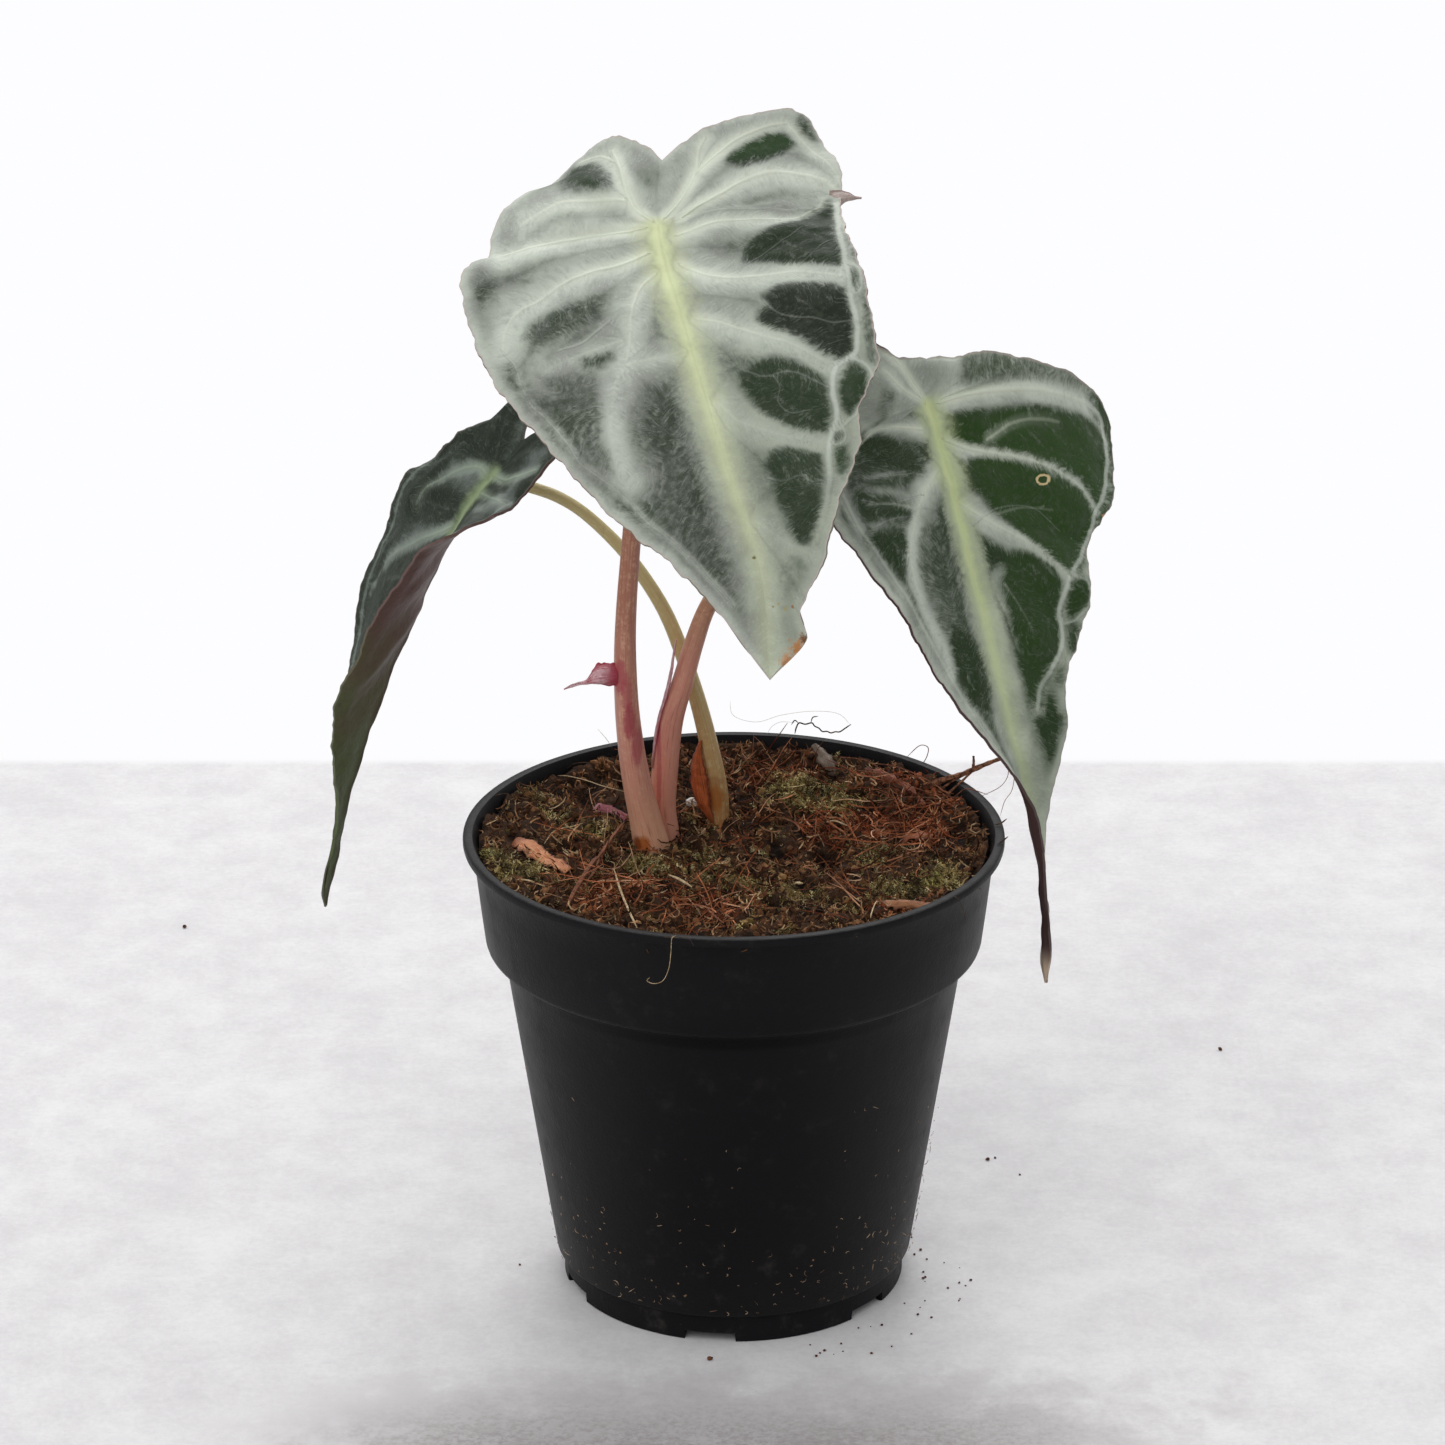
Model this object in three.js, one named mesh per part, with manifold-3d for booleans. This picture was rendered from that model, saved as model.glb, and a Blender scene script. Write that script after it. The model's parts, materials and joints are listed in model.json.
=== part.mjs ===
import * as THREE from "three";
import { mergeVertices } from "three/addons/utils/BufferGeometryUtils.js";
import Module from "manifold-3d";

// A potted aroid with three veined, heart-shaped leaves on leaning stalks, in a round nursery pot.
// Millimetres, +Z up. The origin is on the pot's axis, in the plane of its feet, and +Y points
// away from the side from which the large front leaf is seen.

const wasm = await Module();
wasm.setup();

const GAP = 0.35; // clearance where one piece rests in or against another

// The pot: a thin moulded cup with a deep collar, a narrow lip and a low ring of feet.
const POT_HEIGHT = 107;
const LIP_RADIUS = 60;
const LIP_TALL = 2;
const LIP_PROUD = 2;
const COLLAR_TALL = 25;
const COLLAR_TOP_RADIUS = 58;
const COLLAR_BOTTOM_RADIUS = 55.3;
const BODY_TOP_RADIUS = 51.2;
const BODY_BOTTOM_RADIUS = 40.2;
const FOOT_RADIUS = 38.5;
const FOOT_TALL = 6;
const FOOT_THICK = 1.7;
const WALL = 1.2;
const FLOOR_LOW = 4.6; // underside of the raised floor
const FLOOR_THICK = 1.4;
const PAD_RADIUS = 11; // flat middle of the floor, which stands level with the feet
const PAD_SLOPE = 3;
const FOOT_COUNT = 6;
const FOOT_GAP_DEG = 17;
const FOOT_GAP_MID_DEG = -8; // middle of the first gap, clockwise from the front
const FOOT_GAP_TALL = 2;
const DRAIN_RADIUS = 4;
const DRAIN_RING = 28;
const POT_SIDES = 56;

// The soil: a plug that fills the pot, with an uneven top.
const SOIL_LEVEL = 101.2;
const SOIL_BANK = 3.2; // rise of the soil towards the wall
const SOIL_SIDES = 48;
const SOIL_RINGS = 10;
// Each heap or hollow of the soil: x, y, height, radius.
const SOIL_HEAPS = [
  [14, 28, 3.2, 9],
  [32, 32, 1.2, 12],
  [43, -11, 1.4, 10],
  [-52, 6, 1, 12],
  [-30, 12, 0.8, 8],
  [-34, 32, -1.6, 9],
  [16, -2, -3.2, 7],
  [-14, -28, 1.6, 12],
  [12, -40, 0.8, 13],
];

// The rootstock: a short knob under the stalks, with stub roots.
const KNOB_CENTRE = [-12, 9.5];
const KNOB_TOP = 89.6;
const KNOB_PROFILE = [[60, 4], [63, 8], [68, 11], [75, 12.4], [82, 12], [87, 11], [KNOB_TOP, 10]];
const KNOB_SIDES = 14;
const ROOT_COUNT = 6;
const ROOT_RADIUS = 1.7;
const ROOT_TIP_RADIUS = 0.8;
const ROOT_REACH = 25;
const ROOT_DROP = 40;

// The stalks: [x, y, z, radius] from the foot in the soil to the point under the blade.
const STALK_FOOT = 90;
const STALK_SIDES = 10;
const STALKS = {
  front: [
    [-17.6, 4.2, STALK_FOOT, 3.9], [-18.2, 4.2, 101, 4.05], [-19.5, 3.5, 108, 3.6],
    [-21.6, 2.5, 118.5, 3.15], [-23.3, 1.5, 133, 2.7], [-23.8, 0.5, 147.5, 2.45],
    [-23.5, 0.5, 159, 2.25], [-22.1, 1, 177.5, 2.05], [-19.8, 1.8, 205, 1.9],
    [-17.6, 2.6, 228, 1.8], [-16.6, 0.3, 239, 1.8], [-16.5, -6.6, 246.9, 1.9],
  ],
  right: [
    [-14.4, 11.9, STALK_FOOT, 2.9], [-15, 11.6, 101, 2.9], [-15.8, 11.4, 107.5, 2.95],
    [-15.3, 11, 117, 2.95], [-13.9, 11, 129, 2.75], [-11.2, 10.5, 138.5, 2.4],
    [-8.6, 10.5, 148, 2.15], [-5.5, 10.5, 156.5, 1.9], [8, 11.6, 177, 1.7],
    [28.7, 13.6, 195, 1.6], [35.2, 13.4, 200.4, 1.6], [40.9, 6.5, 203.8, 1.7],
  ],
  left: [
    [-4.6, 15.4, STALK_FOOT, 2.4], [-3.5, 16, 101, 2.45], [-3.7, 16.5, 110, 2.4],
    [-5.7, 17, 121.5, 2.05], [-8, 17.5, 131, 1.85], [-11.9, 18, 143.5, 1.7],
    [-15.5, 18.2, 152.5, 1.6], [-20.9, 18.6, 161.5, 1.5], [-25.6, 19, 167.5, 1.4],
    [-33.7, 19.6, 175.2, 1.3], [-39.4, 20, 178.6, 1.3], [-45.2, 19.5, 180.9, 1.3],
    [-51.4, 15.9, 184.4, 1.4],
  ],
};

// The blades. A blade is laid out flat in its own coordinates: "along" runs down the midrib from
// the point where the stalk joins it (negative in the lobes behind that point), and "across"
// is the distance from the midrib.
//
// spine rows: along, the midrib's point (x, y, z), the way the upper face looks (x, y, z), the
// lift of the left and right halves out of the flat at the midrib (degrees), and the further
// turn of each half over every 40 mm across (degrees, positive towards the upper face).
//
// roots: rib number and the place along the midrib where the ribs of both halves leave it.
//
// rib rows, one list for each half: rib number, the rib's end at the margin (along, across), and
// how far the margin waves up from the sheet there. Whole rib numbers are the side veins, and
// rib 0 is the notch between the lobes.
const BLADE_THICK = 0.65;
const TURN_SPAN = 40;
const RIB_BOW = 1.25;
const LAST_RIB = 10;
const QUILT = 0.9; // rise of the sheet between two side veins
const MIDRIB_TALL = 1.0; // height of the midrib's keel on the underside, at the stalk
const VEIN_TALL = 0.35;
const RIB_STEPS = 30;
const ACROSS_STEPS = 6;

const BLADES = {
  front: {
    keel: 1,
    spine: [
      [-30, -14, 12, 271, 0, -0.55, 0.83, -26, 0, -70, -25],
      [-14, -15.3, 2, 259.5, 0, -0.62, 0.78, -12, 4, -50, -20],
      [0, -16.5, -8, 248.5, 0, -0.66, 0.75, 4, 8, -16, -16],
      [30, -10, -31, 231, 0, -0.74, 0.67, 10, 10, -12, -12],
      [60, -2, -52, 210.5, 0, -0.78, 0.62, 10, 10, -10, -10],
      [86, 5.3, -67, 191.4, 0, -0.84, 0.54, 12, 12, 0, 0],
      [107, 7.2, -76, 172, 0, -0.88, 0.47, 14, 14, 0, 0],
    ],
    roots: [[0, 0], [4, 0], [5, 8], [6, 24], [7, 44], [8, 65], [9, 85], [LAST_RIB, 107]],
    left: [
      [0, -14.5, 0, 0], [0.5, -18, 4, 0], [1, -21.5, 10, 0], [2, -22.5, 18, -0.5],
      [2.5, -18.5, 25, -1], [3, -11.5, 31, -2], [3.5, -3, 34.5, -2.5], [3.8, 1.5, 36.5, -2],
      [4, 3, 40, 0.5], [4.5, 8.5, 43, 1.5], [5, 21, 43, 0], [5.5, 33, 41, -1],
      [6, 45, 36, 0.5], [6.5, 56, 31, 1], [7, 66, 25.5, -0.5], [7.5, 78, 18.5, 0.6],
      [8, 88, 13, 0], [9, 99, 5.7, 0], [LAST_RIB, 107, 0, 0],
    ],
    right: [
      [0, -14.5, 0, 0], [0.5, -20, 5, 0], [1, -24.5, 11, 0], [1.5, -28, 19, 0.5],
      [2, -31, 28, 0], [2.5, -25, 33.5, -1.5], [3, -16, 38.5, 1], [4, -6, 37.5, -2],
      [4.5, 10, 38.5, 0], [5, 25, 39, 1.5], [5.5, 38, 38, 0], [6, 48, 36.5, -1],
      [6.5, 57, 30, 1], [7, 67, 27, -1], [7.5, 78, 18.5, 1], [8, 87, 12.5, -0.5],
      [8.5, 93.5, 7.3, 1], [9, 99.5, 8, 1.5], [LAST_RIB, 107, 0, 0],
    ],
  },
  right: {
    keel: 0.9,
    spine: [
      [-28, 28, -2, 228, 0.45, -0.72, 0.5, -20, -5, -90, -20],
      [0, 42, 5, 204.4, 0.5, -0.74, 0.42, 5, 8, -30, -25],
      [36, 51, -7, 172, 0.54, -0.76, 0.34, 10, 8, 0, -20],
      [68, 59, -16, 142, 0.58, -0.78, 0.26, 14, 10, 20, -10],
      [98, 65.5, -20.5, 113, 0.66, -0.75, 0.15, 40, 15, 400, 0],
      [112, 67.1, -21, 99.4, 0.9, -0.3, 0.1, 40, 15, 100, 0],
      [132, 68.7, -20, 79, 0.66, 0.75, 0, 20, 20, 0, 0],
    ],
    roots: [
      [0, 0], [3.5, 0], [4, 4], [5, 14], [6, 27], [7, 45], [8, 68], [9, 98], [9.5, 116], [LAST_RIB, 132],
    ],
    left: [
      [0, -13, 0, 0], [1, -26, 6, 0], [1.5, -26, 13, -0.5], [2, -19, 20, -1],
      [3, -10, 26, 0], [3.5, 0, 29, 0.5], [4, 9, 31, 0], [4.5, 17, 33, -0.5],
      [5, 22, 35.5, 0.5], [5.5, 29, 31.5, 0], [6, 42.6, 23.5, 0.5],
      [6.5, 55, 18, 0], [7, 66, 13.5, 0], [7.5, 76, 10, 0], [8, 88, 8, 0],
      [8.5, 100, 5, 0], [9, 112, 3, 0], [9.5, 124, 2, 0],
      [LAST_RIB, 132, 0, 0],
    ],
    right: [
      [0, -13, 0, 0], [1, -10, 3.6, 0], [1.5, -5, 10.5, 0], [2, -2, 20, -0.5],
      [2.5, 2, 31, 0], [3, 6, 42, 0.5], [3.5, 11, 50.5, -1], [4, 18.5, 47.5, 0],
      [4.5, 28, 42.5, 1], [5, 39.5, 32.5, -1], [5.5, 49, 28, 1], [6, 58, 22.5, -0.8],
      [6.5, 66, 15.5, 0.5], [7, 76, 14, -0.8], [7.5, 85, 8.3, 0], [8, 95, 3.5, 0],
      [9, 112, 1, 0], [9.5, 124, 2.5, 0], [LAST_RIB, 132, 0, 0],
    ],
  },
  left: {
    keel: 0.7,
    spine: [
      [-22, -38.3, 16, 202, -0.66, -0.45, 0.6, 5, 5, 0, 0],
      [0, -52.7, 15, 185.5, -0.7, -0.45, 0.56, 8, 8, 0, 10],
      [12, -60.2, 12.5, 176, -0.8, -0.4, 0.48, 6, 14, 0, 50],
      [29.3, -67.8, 9.5, 161, -0.9, -0.32, 0.36, 6, 22, 0, 70],
      [46.5, -74.7, 7.5, 145, -0.93, -0.28, 0.32, 6, 30, 0, 75],
      [71.4, -83.3, 5, 122, -0.95, -0.2, 0.25, 10, 36, 0, 70],
      [108, -91, 3, 87.3, -0.97, -0.15, 0.2, 20, 40, 0, 0],
    ],
    roots: [
      [0, 0], [3.5, 0], [4, 4], [5, 9], [6, 20], [7, 37.5], [8, 59], [9, 89], [LAST_RIB, 108],
    ],
    left: [
      [0, -10, 0, 0], [1, -19, 7, 0], [2, -13, 10.5, 0.5], [2.5, -6.5, 12.4, -0.5],
      [3, 0, 16, 0.5], [3.5, 6, 20, -1], [4, 12, 24.5, 0.8], [5, 26, 27.5, -0.5],
      [6, 41, 28, 0.5], [6.5, 51, 24.8, -0.5], [7, 59, 18.2, 0.5], [7.5, 69, 14.6, -0.5],
      [8, 79, 8, 0], [8.5, 90, 3, 0], [9, 104, 2.5, 0], [LAST_RIB, 108, 0, 0],
    ],
    right: [
      [0, -10, 0, 0], [1, -20, 7, 0], [2, -14.5, 13.2, -0.5], [2.5, -8, 16, 0.5],
      [3, -1, 16.5, -0.5], [3.5, 4, 20, 0.5], [4, 9, 22, -0.8], [5, 18, 25, 0.5],
      [5.5, 26, 22, 0], [6, 37, 19.5, 0.5], [6.5, 46, 18, -0.3], [7, 55, 17, 0.3],
      [7.5, 64, 13.5, 0], [8, 75, 8, 0], [8.5, 86, 3.5, 0], [9, 102, 3, 0],
      [LAST_RIB, 108, 0, 0],
    ],
  },
};

// Papery scraps: rows of points across each strip, from one end to the other.
const SCRAP_THICK = 0.6;
const SCRAPS = {
  sheath_scrap_front: {
    colour: 0xb8506a,
    rows: [
      [[-26.9, -1.2, 141.6], [-27.4, -1.9, 143.2], [-27.3, -1.7, 145.2], [-26.9, -0.8, 147]],
      [[-28.5, -1.6, 141.9], [-29.2, -2.7, 143.4], [-29.3, -2.5, 145.4], [-28.6, -1.2, 147.6]],
      [[-30.6, -2, 142], [-31.2, -3, 143.3], [-31.4, -2.8, 145.2], [-31, -1.8, 147.4]],
      [[-33, -2, 141.9], [-33.3, -2.7, 142.9], [-33.4, -2.5, 143.8], [-33.2, -1.8, 144.9]],
      [[-35.4, -1.8, 141.6], [-35.5, -2.2, 142.1], [-35.6, -2.1, 142.7], [-35.5, -1.6, 143.2]],
      [[-37.2, -1.4, 141.2], [-37.3, -1.6, 141.5], [-37.3, -1.5, 141.9], [-37.3, -1.2, 142.2]],
    ],
  },
};

// Torn sheaths that wrap a stalk: [height, from angle, to angle, distance off the stalk's skin].
// Angles are in degrees, with 0 towards +X and 90 towards +Y.
const SHEATH_POINTS = 4;
const SHEATHS = {
  sheath_sliver_right: {
    stalk: "right",
    colour: 0x9a4650,
    rows: [
      [123, 185, 240, 0.7], [127, 185, 246, 0.7], [131.5, 188, 246, 0.7], [136, 192, 242, 0.8],
      [140, 196, 238, 1], [144, 202, 232, 1.4], [147.5, 208, 224, 1.9],
    ],
  },
  dead_sheath_left: {
    stalk: "left",
    colour: 0x8a4526,
    rows: [
      [103.6, 175, 238, 0.75], [107, 172, 240, 0.85], [110.5, 172, 236, 1.1],
      [114, 174, 230, 1.3], [117.5, 178, 222, 1.4], [121, 186, 208, 1.5],
    ],
  },
};

// Scraps that lie on the soil: [x, y, height above the soil].
const LITTER = {
  dried_scrap: {
    colour: 0xb5713f,
    rows: [
      [[-49.4, -1.6, 1.1], [-48.2, -0.2, 1.5], [-46.6, 1.4, 1.1]],
      [[-47, -4.6, 0.9], [-45.1, -2.6, 1.6], [-43.4, -0.8, 0.9]],
      [[-44, -7.8, 0.9], [-42, -6.1, 1.5], [-40.2, -4.2, 1]],
      [[-41, -11, 0.9], [-39.4, -9.2, 1.4], [-37.6, -7.4, 0.9]],
      [[-37, -14, 0.9], [-36, -13, 1.1], [-34.9, -11.9, 0.9]],
    ],
  },
  crimson_scrap: {
    colour: 0x7e2436,
    rows: [
      [[-32, 23.6, 0.9], [-31.3, 24.6, 1.3], [-30.6, 25.6, 0.9]],
      [[-29.8, 22, 0.9], [-29, 23, 1.4], [-28.2, 24, 0.9]],
      [[-27.4, 19.9, 0.9], [-26.6, 20.8, 1.3], [-25.8, 21.8, 0.9]],
      [[-25, 18.4, 0.9], [-24.5, 19, 1], [-24, 19.6, 0.9]],
    ],
  },
};
const GRAIN_CENTRE = [-9.4, 26];
const GRAIN_RADIUS = 1.35;

// A coir twig that leans out of the soil and over the lip: [x, y, z, radius].
const TWIG = [
  [43.4, 30, 105.3, 0.8], [47.8, 29.8, 107.1, 0.75], [51, 29.6, 108.2, 0.7],
  [56.2, 31.5, 109.6, 0.6], [62.4, 33, 111.7, 0.5],
];
const TWIG_SIDES = 6;

/** Smooth value of a table at a station. Each row is a station followed by its values. */
function along(table, station) {
  const last = table.length - 1;
  const slope = (row, column) => {
    const before = table[Math.max(row - 1, 0)];
    const after = table[Math.min(row + 1, last)];
    return (after[column] - before[column]) / (after[0] - before[0]);
  };
  let row = 0;
  while (row < last - 1 && station >= table[row + 1][0]) row += 1;
  const [start, end] = [table[row][0], table[row + 1][0]];
  const span = end - start;
  const t = (station - start) / span;
  return table[0].slice(1).map((_, k) => {
    const column = k + 1;
    const [from, to] = [table[row][column], table[row + 1][column]];
    if (t < 0) return from + slope(row, column) * (station - start);
    if (t > 1) return to + slope(row + 1, column) * (station - end);
    return (2 * t ** 3 - 3 * t ** 2 + 1) * from
      + (t ** 3 - 2 * t ** 2 + t) * span * slope(row, column)
      + (3 * t ** 2 - 2 * t ** 3) * to
      + (t ** 3 - t ** 2) * span * slope(row + 1, column);
  });
}

/** Closed geometry from a list of points and a list of triangles that index them. */
function solidGeometry(points, triangles) {
  const geometry = new THREE.BufferGeometry();
  geometry.setAttribute("position", new THREE.Float32BufferAttribute(points.flatMap((p) => p.toArray()), 3));
  geometry.setIndex(triangles.flat());
  return geometry;
}

/** Skin over closed rings of points, with a fan on the first and the last ring. */
function loft(rings) {
  const sides = rings[0].length;
  const points = rings.flat();
  const triangles = [];
  for (let ring = 0; ring < rings.length - 1; ring += 1) {
    for (let side = 0; side < sides; side += 1) {
      const next = (side + 1) % sides;
      const [a, b] = [ring * sides + side, ring * sides + next];
      triangles.push([a, b, b + sides], [a, b + sides, a + sides]);
    }
  }
  const middle = (ring) => ring.reduce((sum, p) => sum.add(p), new THREE.Vector3()).divideScalar(sides);
  const top = (rings.length - 1) * sides;
  points.push(middle(rings[0]), middle(rings[rings.length - 1]));
  for (let side = 0; side < sides; side += 1) {
    const next = (side + 1) % sides;
    triangles.push([points.length - 2, next, side], [points.length - 1, top + side, top + next]);
  }
  return solidGeometry(points, triangles);
}

/** Round stem of changing radius along a curve through [x, y, z, radius] points. */
function stemGeometry(route, sides, stepLength, extraRadius = 0, extraEnds = 0) {
  const curve = new THREE.CatmullRomCurve3(route.map(([x, y, z]) => new THREE.Vector3(x, y, z)));
  const steps = Math.ceil(curve.getLength() / stepLength);
  const frames = curve.computeFrenetFrames(steps, false);
  const rings = [];
  for (let step = 0; step <= steps; step += 1) {
    const centre = curve.getPointAt(step / steps);
    if (step === 0) centre.addScaledVector(frames.tangents[step], -extraEnds);
    if (step === steps) centre.addScaledVector(frames.tangents[step], extraEnds);
    const place = curve.getUtoTmapping(step / steps) * (route.length - 1);
    const before = Math.min(Math.floor(place), route.length - 2);
    const radius = THREE.MathUtils.lerp(route[before][3], route[before + 1][3], place - before);
    rings.push(Array.from({ length: sides }, (_, side) => {
      const angle = (2 * Math.PI * side) / sides;
      return centre.clone()
        .addScaledVector(frames.normals[step], Math.cos(angle) * (radius + extraRadius))
        .addScaledVector(frames.binormals[step], Math.sin(angle) * (radius + extraRadius));
    }));
  }
  return loft(rings);
}

/** Thin strip through rows of points, thickened evenly to both sides of them. */
function stripGeometry(rows, thickness) {
  const grid = rows.map((row) => row.map((p) => new THREE.Vector3(...p)));
  const [count, width] = [grid.length, grid[0].length];
  const faces = [1, -1].map((side) => grid.map((row, i) => row.map((point, j) => {
    const down = grid[Math.min(i + 1, count - 1)][j].clone().sub(grid[Math.max(i - 1, 0)][j]);
    const over = row[Math.min(j + 1, width - 1)].clone().sub(row[Math.max(j - 1, 0)]);
    const normal = down.cross(over).normalize();
    return point.clone().addScaledVector(normal, (side * thickness) / 2);
  })));
  const points = faces.flat(2);
  const under = count * width;
  const triangles = [];
  for (let i = 0; i < count - 1; i += 1) {
    for (let j = 0; j < width - 1; j += 1) {
      const a = i * width + j;
      triangles.push([a, a + width, a + width + 1], [a, a + width + 1, a + 1]);
      triangles.push([under + a, under + a + width + 1, under + a + width], [under + a, under + a + 1, under + a + width + 1]);
    }
  }
  const border = [];
  for (let j = 0; j < width - 1; j += 1) border.push(j);
  for (let i = 0; i < count - 1; i += 1) border.push(i * width + width - 1);
  for (let j = width - 1; j > 0; j -= 1) border.push((count - 1) * width + j);
  for (let i = count - 1; i > 0; i -= 1) border.push(i * width);
  border.forEach((a, k) => {
    const b = border[(k + 1) % border.length];
    triangles.push([a, b, under + b], [a, under + b, under + a]);
  });
  return solidGeometry(points, triangles);
}

/** Rows of points of a sheath, laid round its stalk. */
function sheathRows({ stalk, rows }) {
  return rows.map(([height, from, to, off]) => {
    const route = STALKS[stalk];
    const after = route.findIndex((point) => point[2] > height);
    const [low, high] = [route[after - 1], route[after]];
    const share = (height - low[2]) / (high[2] - low[2]);
    const [x, y, , radius] = low.map((value, k) => THREE.MathUtils.lerp(value, high[k], share));
    return Array.from({ length: SHEATH_POINTS }, (_, k) => {
      const angle = THREE.MathUtils.degToRad(THREE.MathUtils.lerp(from, to, k / (SHEATH_POINTS - 1)));
      return [x + (radius + off) * Math.cos(angle), y + (radius + off) * Math.sin(angle), height];
    });
  });
}

/** Rows of points of a scrap, laid on the soil. */
function litterRows({ rows }) {
  return rows.map((row) => row.map(([x, y, above]) => [x, y, soilHeight(x, y) + above]));
}

/** The geometry as a solid that can be joined and cut. */
function solid(geometry) {
  const bare = geometry.clone();
  bare.deleteAttribute("normal");
  bare.deleteAttribute("uv");
  const merged = mergeVertices(bare, 1e-4);
  return new wasm.Manifold(new wasm.Mesh({
    numProp: 3,
    vertProperties: new Float32Array(merged.attributes.position.array),
    triVerts: new Uint32Array(merged.index.array),
  }));
}

/** The joined or cut solid as a geometry. */
function geometryOf(body) {
  const { vertProperties, triVerts } = body.getMesh();
  const geometry = new THREE.BufferGeometry();
  geometry.setAttribute("position", new THREE.Float32BufferAttribute(vertProperties, 3));
  geometry.setIndex(Array.from(triVerts));
  return geometry;
}

function namedMesh(name, geometry, colour, roughness, metalness = 0) {
  const mesh = new THREE.Mesh(geometry, new THREE.MeshStandardMaterial({ color: colour, roughness, metalness }));
  mesh.name = name;
  mesh.geometry.computeVertexNormals();
  return mesh;
}

/** Round body about the Z axis from a list of [radius, height]. */
function turned(profile, sides) {
  const points = profile.map(([radius, height]) => new THREE.Vector2(radius, height));
  return new THREE.LatheGeometry(points, sides).rotateX(Math.PI / 2);
}

/** The pot's inner face from the middle of its floor up to the lip, moved inwards by a gap. */
function innerProfile(gap) {
  const step = POT_HEIGHT - COLLAR_TALL;
  return [
    [0, FLOOR_THICK + gap],
    [PAD_RADIUS - 1 - gap, FLOOR_THICK + gap],
    [PAD_RADIUS + PAD_SLOPE - 1 - gap, FLOOR_LOW + FLOOR_THICK + gap],
    [BODY_BOTTOM_RADIUS - WALL - 1 - gap, FLOOR_LOW + FLOOR_THICK + gap],
    [BODY_BOTTOM_RADIUS - WALL + 0.2 - gap, FOOT_TALL + 2.5 + gap],
    [BODY_TOP_RADIUS - WALL - gap, step - 0.6],
    [COLLAR_BOTTOM_RADIUS - WALL - 0.6 - gap, step + 0.6 + gap],
    [collarInside(step + 1.6 + gap) - gap, step + 1.6 + gap],
  ];
}

function makePot() {
  const step = POT_HEIGHT - COLLAR_TALL;
  const lipFoot = POT_HEIGHT - LIP_TALL;
  const outer = [
    [0, 0], [PAD_RADIUS, 0], [PAD_RADIUS + PAD_SLOPE, FLOOR_LOW],
    [FOOT_RADIUS - FOOT_THICK - 0.6, FLOOR_LOW], [FOOT_RADIUS - FOOT_THICK, 0],
    [FOOT_RADIUS, 0], [FOOT_RADIUS, FOOT_TALL], [BODY_BOTTOM_RADIUS, FOOT_TALL + 1.2],
    [BODY_TOP_RADIUS, step - 2], [BODY_TOP_RADIUS + 1.2, step - 0.8],
    [COLLAR_BOTTOM_RADIUS - 0.7, step - 0.2], [COLLAR_BOTTOM_RADIUS, step + 0.8],
    [COLLAR_TOP_RADIUS, lipFoot - 0.4], [LIP_RADIUS - 0.4, lipFoot], [LIP_RADIUS, lipFoot + 0.5],
    [LIP_RADIUS, POT_HEIGHT - 0.5], [LIP_RADIUS - 0.5, POT_HEIGHT],
    [LIP_RADIUS - LIP_PROUD + 0.2, POT_HEIGHT], [COLLAR_TOP_RADIUS - 0.5, POT_HEIGHT - 0.6],
    [collarInside(lipFoot - 0.6), lipFoot - 0.6],
  ];
  let pot = solid(turned([...outer, ...innerProfile(0).reverse()], POT_SIDES));

  const gapWidth = 2 * FOOT_RADIUS * Math.sin(THREE.MathUtils.degToRad(FOOT_GAP_DEG / 2));
  const frontAngle = -Math.PI / 2;
  for (let foot = 0; foot < FOOT_COUNT; foot += 1) {
    const turn = THREE.MathUtils.degToRad(FOOT_GAP_MID_DEG + (360 / FOOT_COUNT) * foot);
    const notch = new THREE.BoxGeometry(3 * FOOT_THICK, gapWidth, 2 * FOOT_GAP_TALL);
    notch.translate(FOOT_RADIUS, 0, 0).rotateZ(frontAngle + turn);
    const drain = new THREE.CylinderGeometry(DRAIN_RADIUS, DRAIN_RADIUS, 4 * FLOOR_THICK, 12);
    drain.rotateX(Math.PI / 2).translate(DRAIN_RING, 0, FLOOR_LOW + FLOOR_THICK / 2);
    drain.rotateZ(frontAngle + turn);
    pot = pot.subtract(solid(notch)).subtract(solid(drain));
  }
  return namedMesh("pot", geometryOf(pot), 0x242325, 0.5);
}

/** Height of the soil at a place: a level with heaps, hollows and crumbly unevenness. */
function soilHeight(x, y) {
  const heaps = SOIL_HEAPS.reduce((sum, [cx, cy, tall, radius]) => (
    sum + tall * Math.exp(-((x - cx) ** 2 + (y - cy) ** 2) / radius ** 2)), 0);
  const bank = SOIL_BANK * (Math.hypot(x, y) / COLLAR_TOP_RADIUS) ** 4;
  const lumps = 0.7 * Math.sin(0.42 * x + 1) * Math.sin(0.37 * y + 2)
    + 0.45 * Math.sin(0.8 * x - 0.55 * y) * Math.sin(0.7 * y + 0.3 * x);
  return SOIL_LEVEL + bank + heaps + lumps;
}

/** Radius of the collar's inner face at a height. */
function collarInside(height) {
  const foot = POT_HEIGHT - COLLAR_TALL;
  const share = (height - foot) / (COLLAR_TALL - LIP_TALL);
  return THREE.MathUtils.lerp(COLLAR_BOTTOM_RADIUS, COLLAR_TOP_RADIUS, share) - WALL;
}

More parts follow.
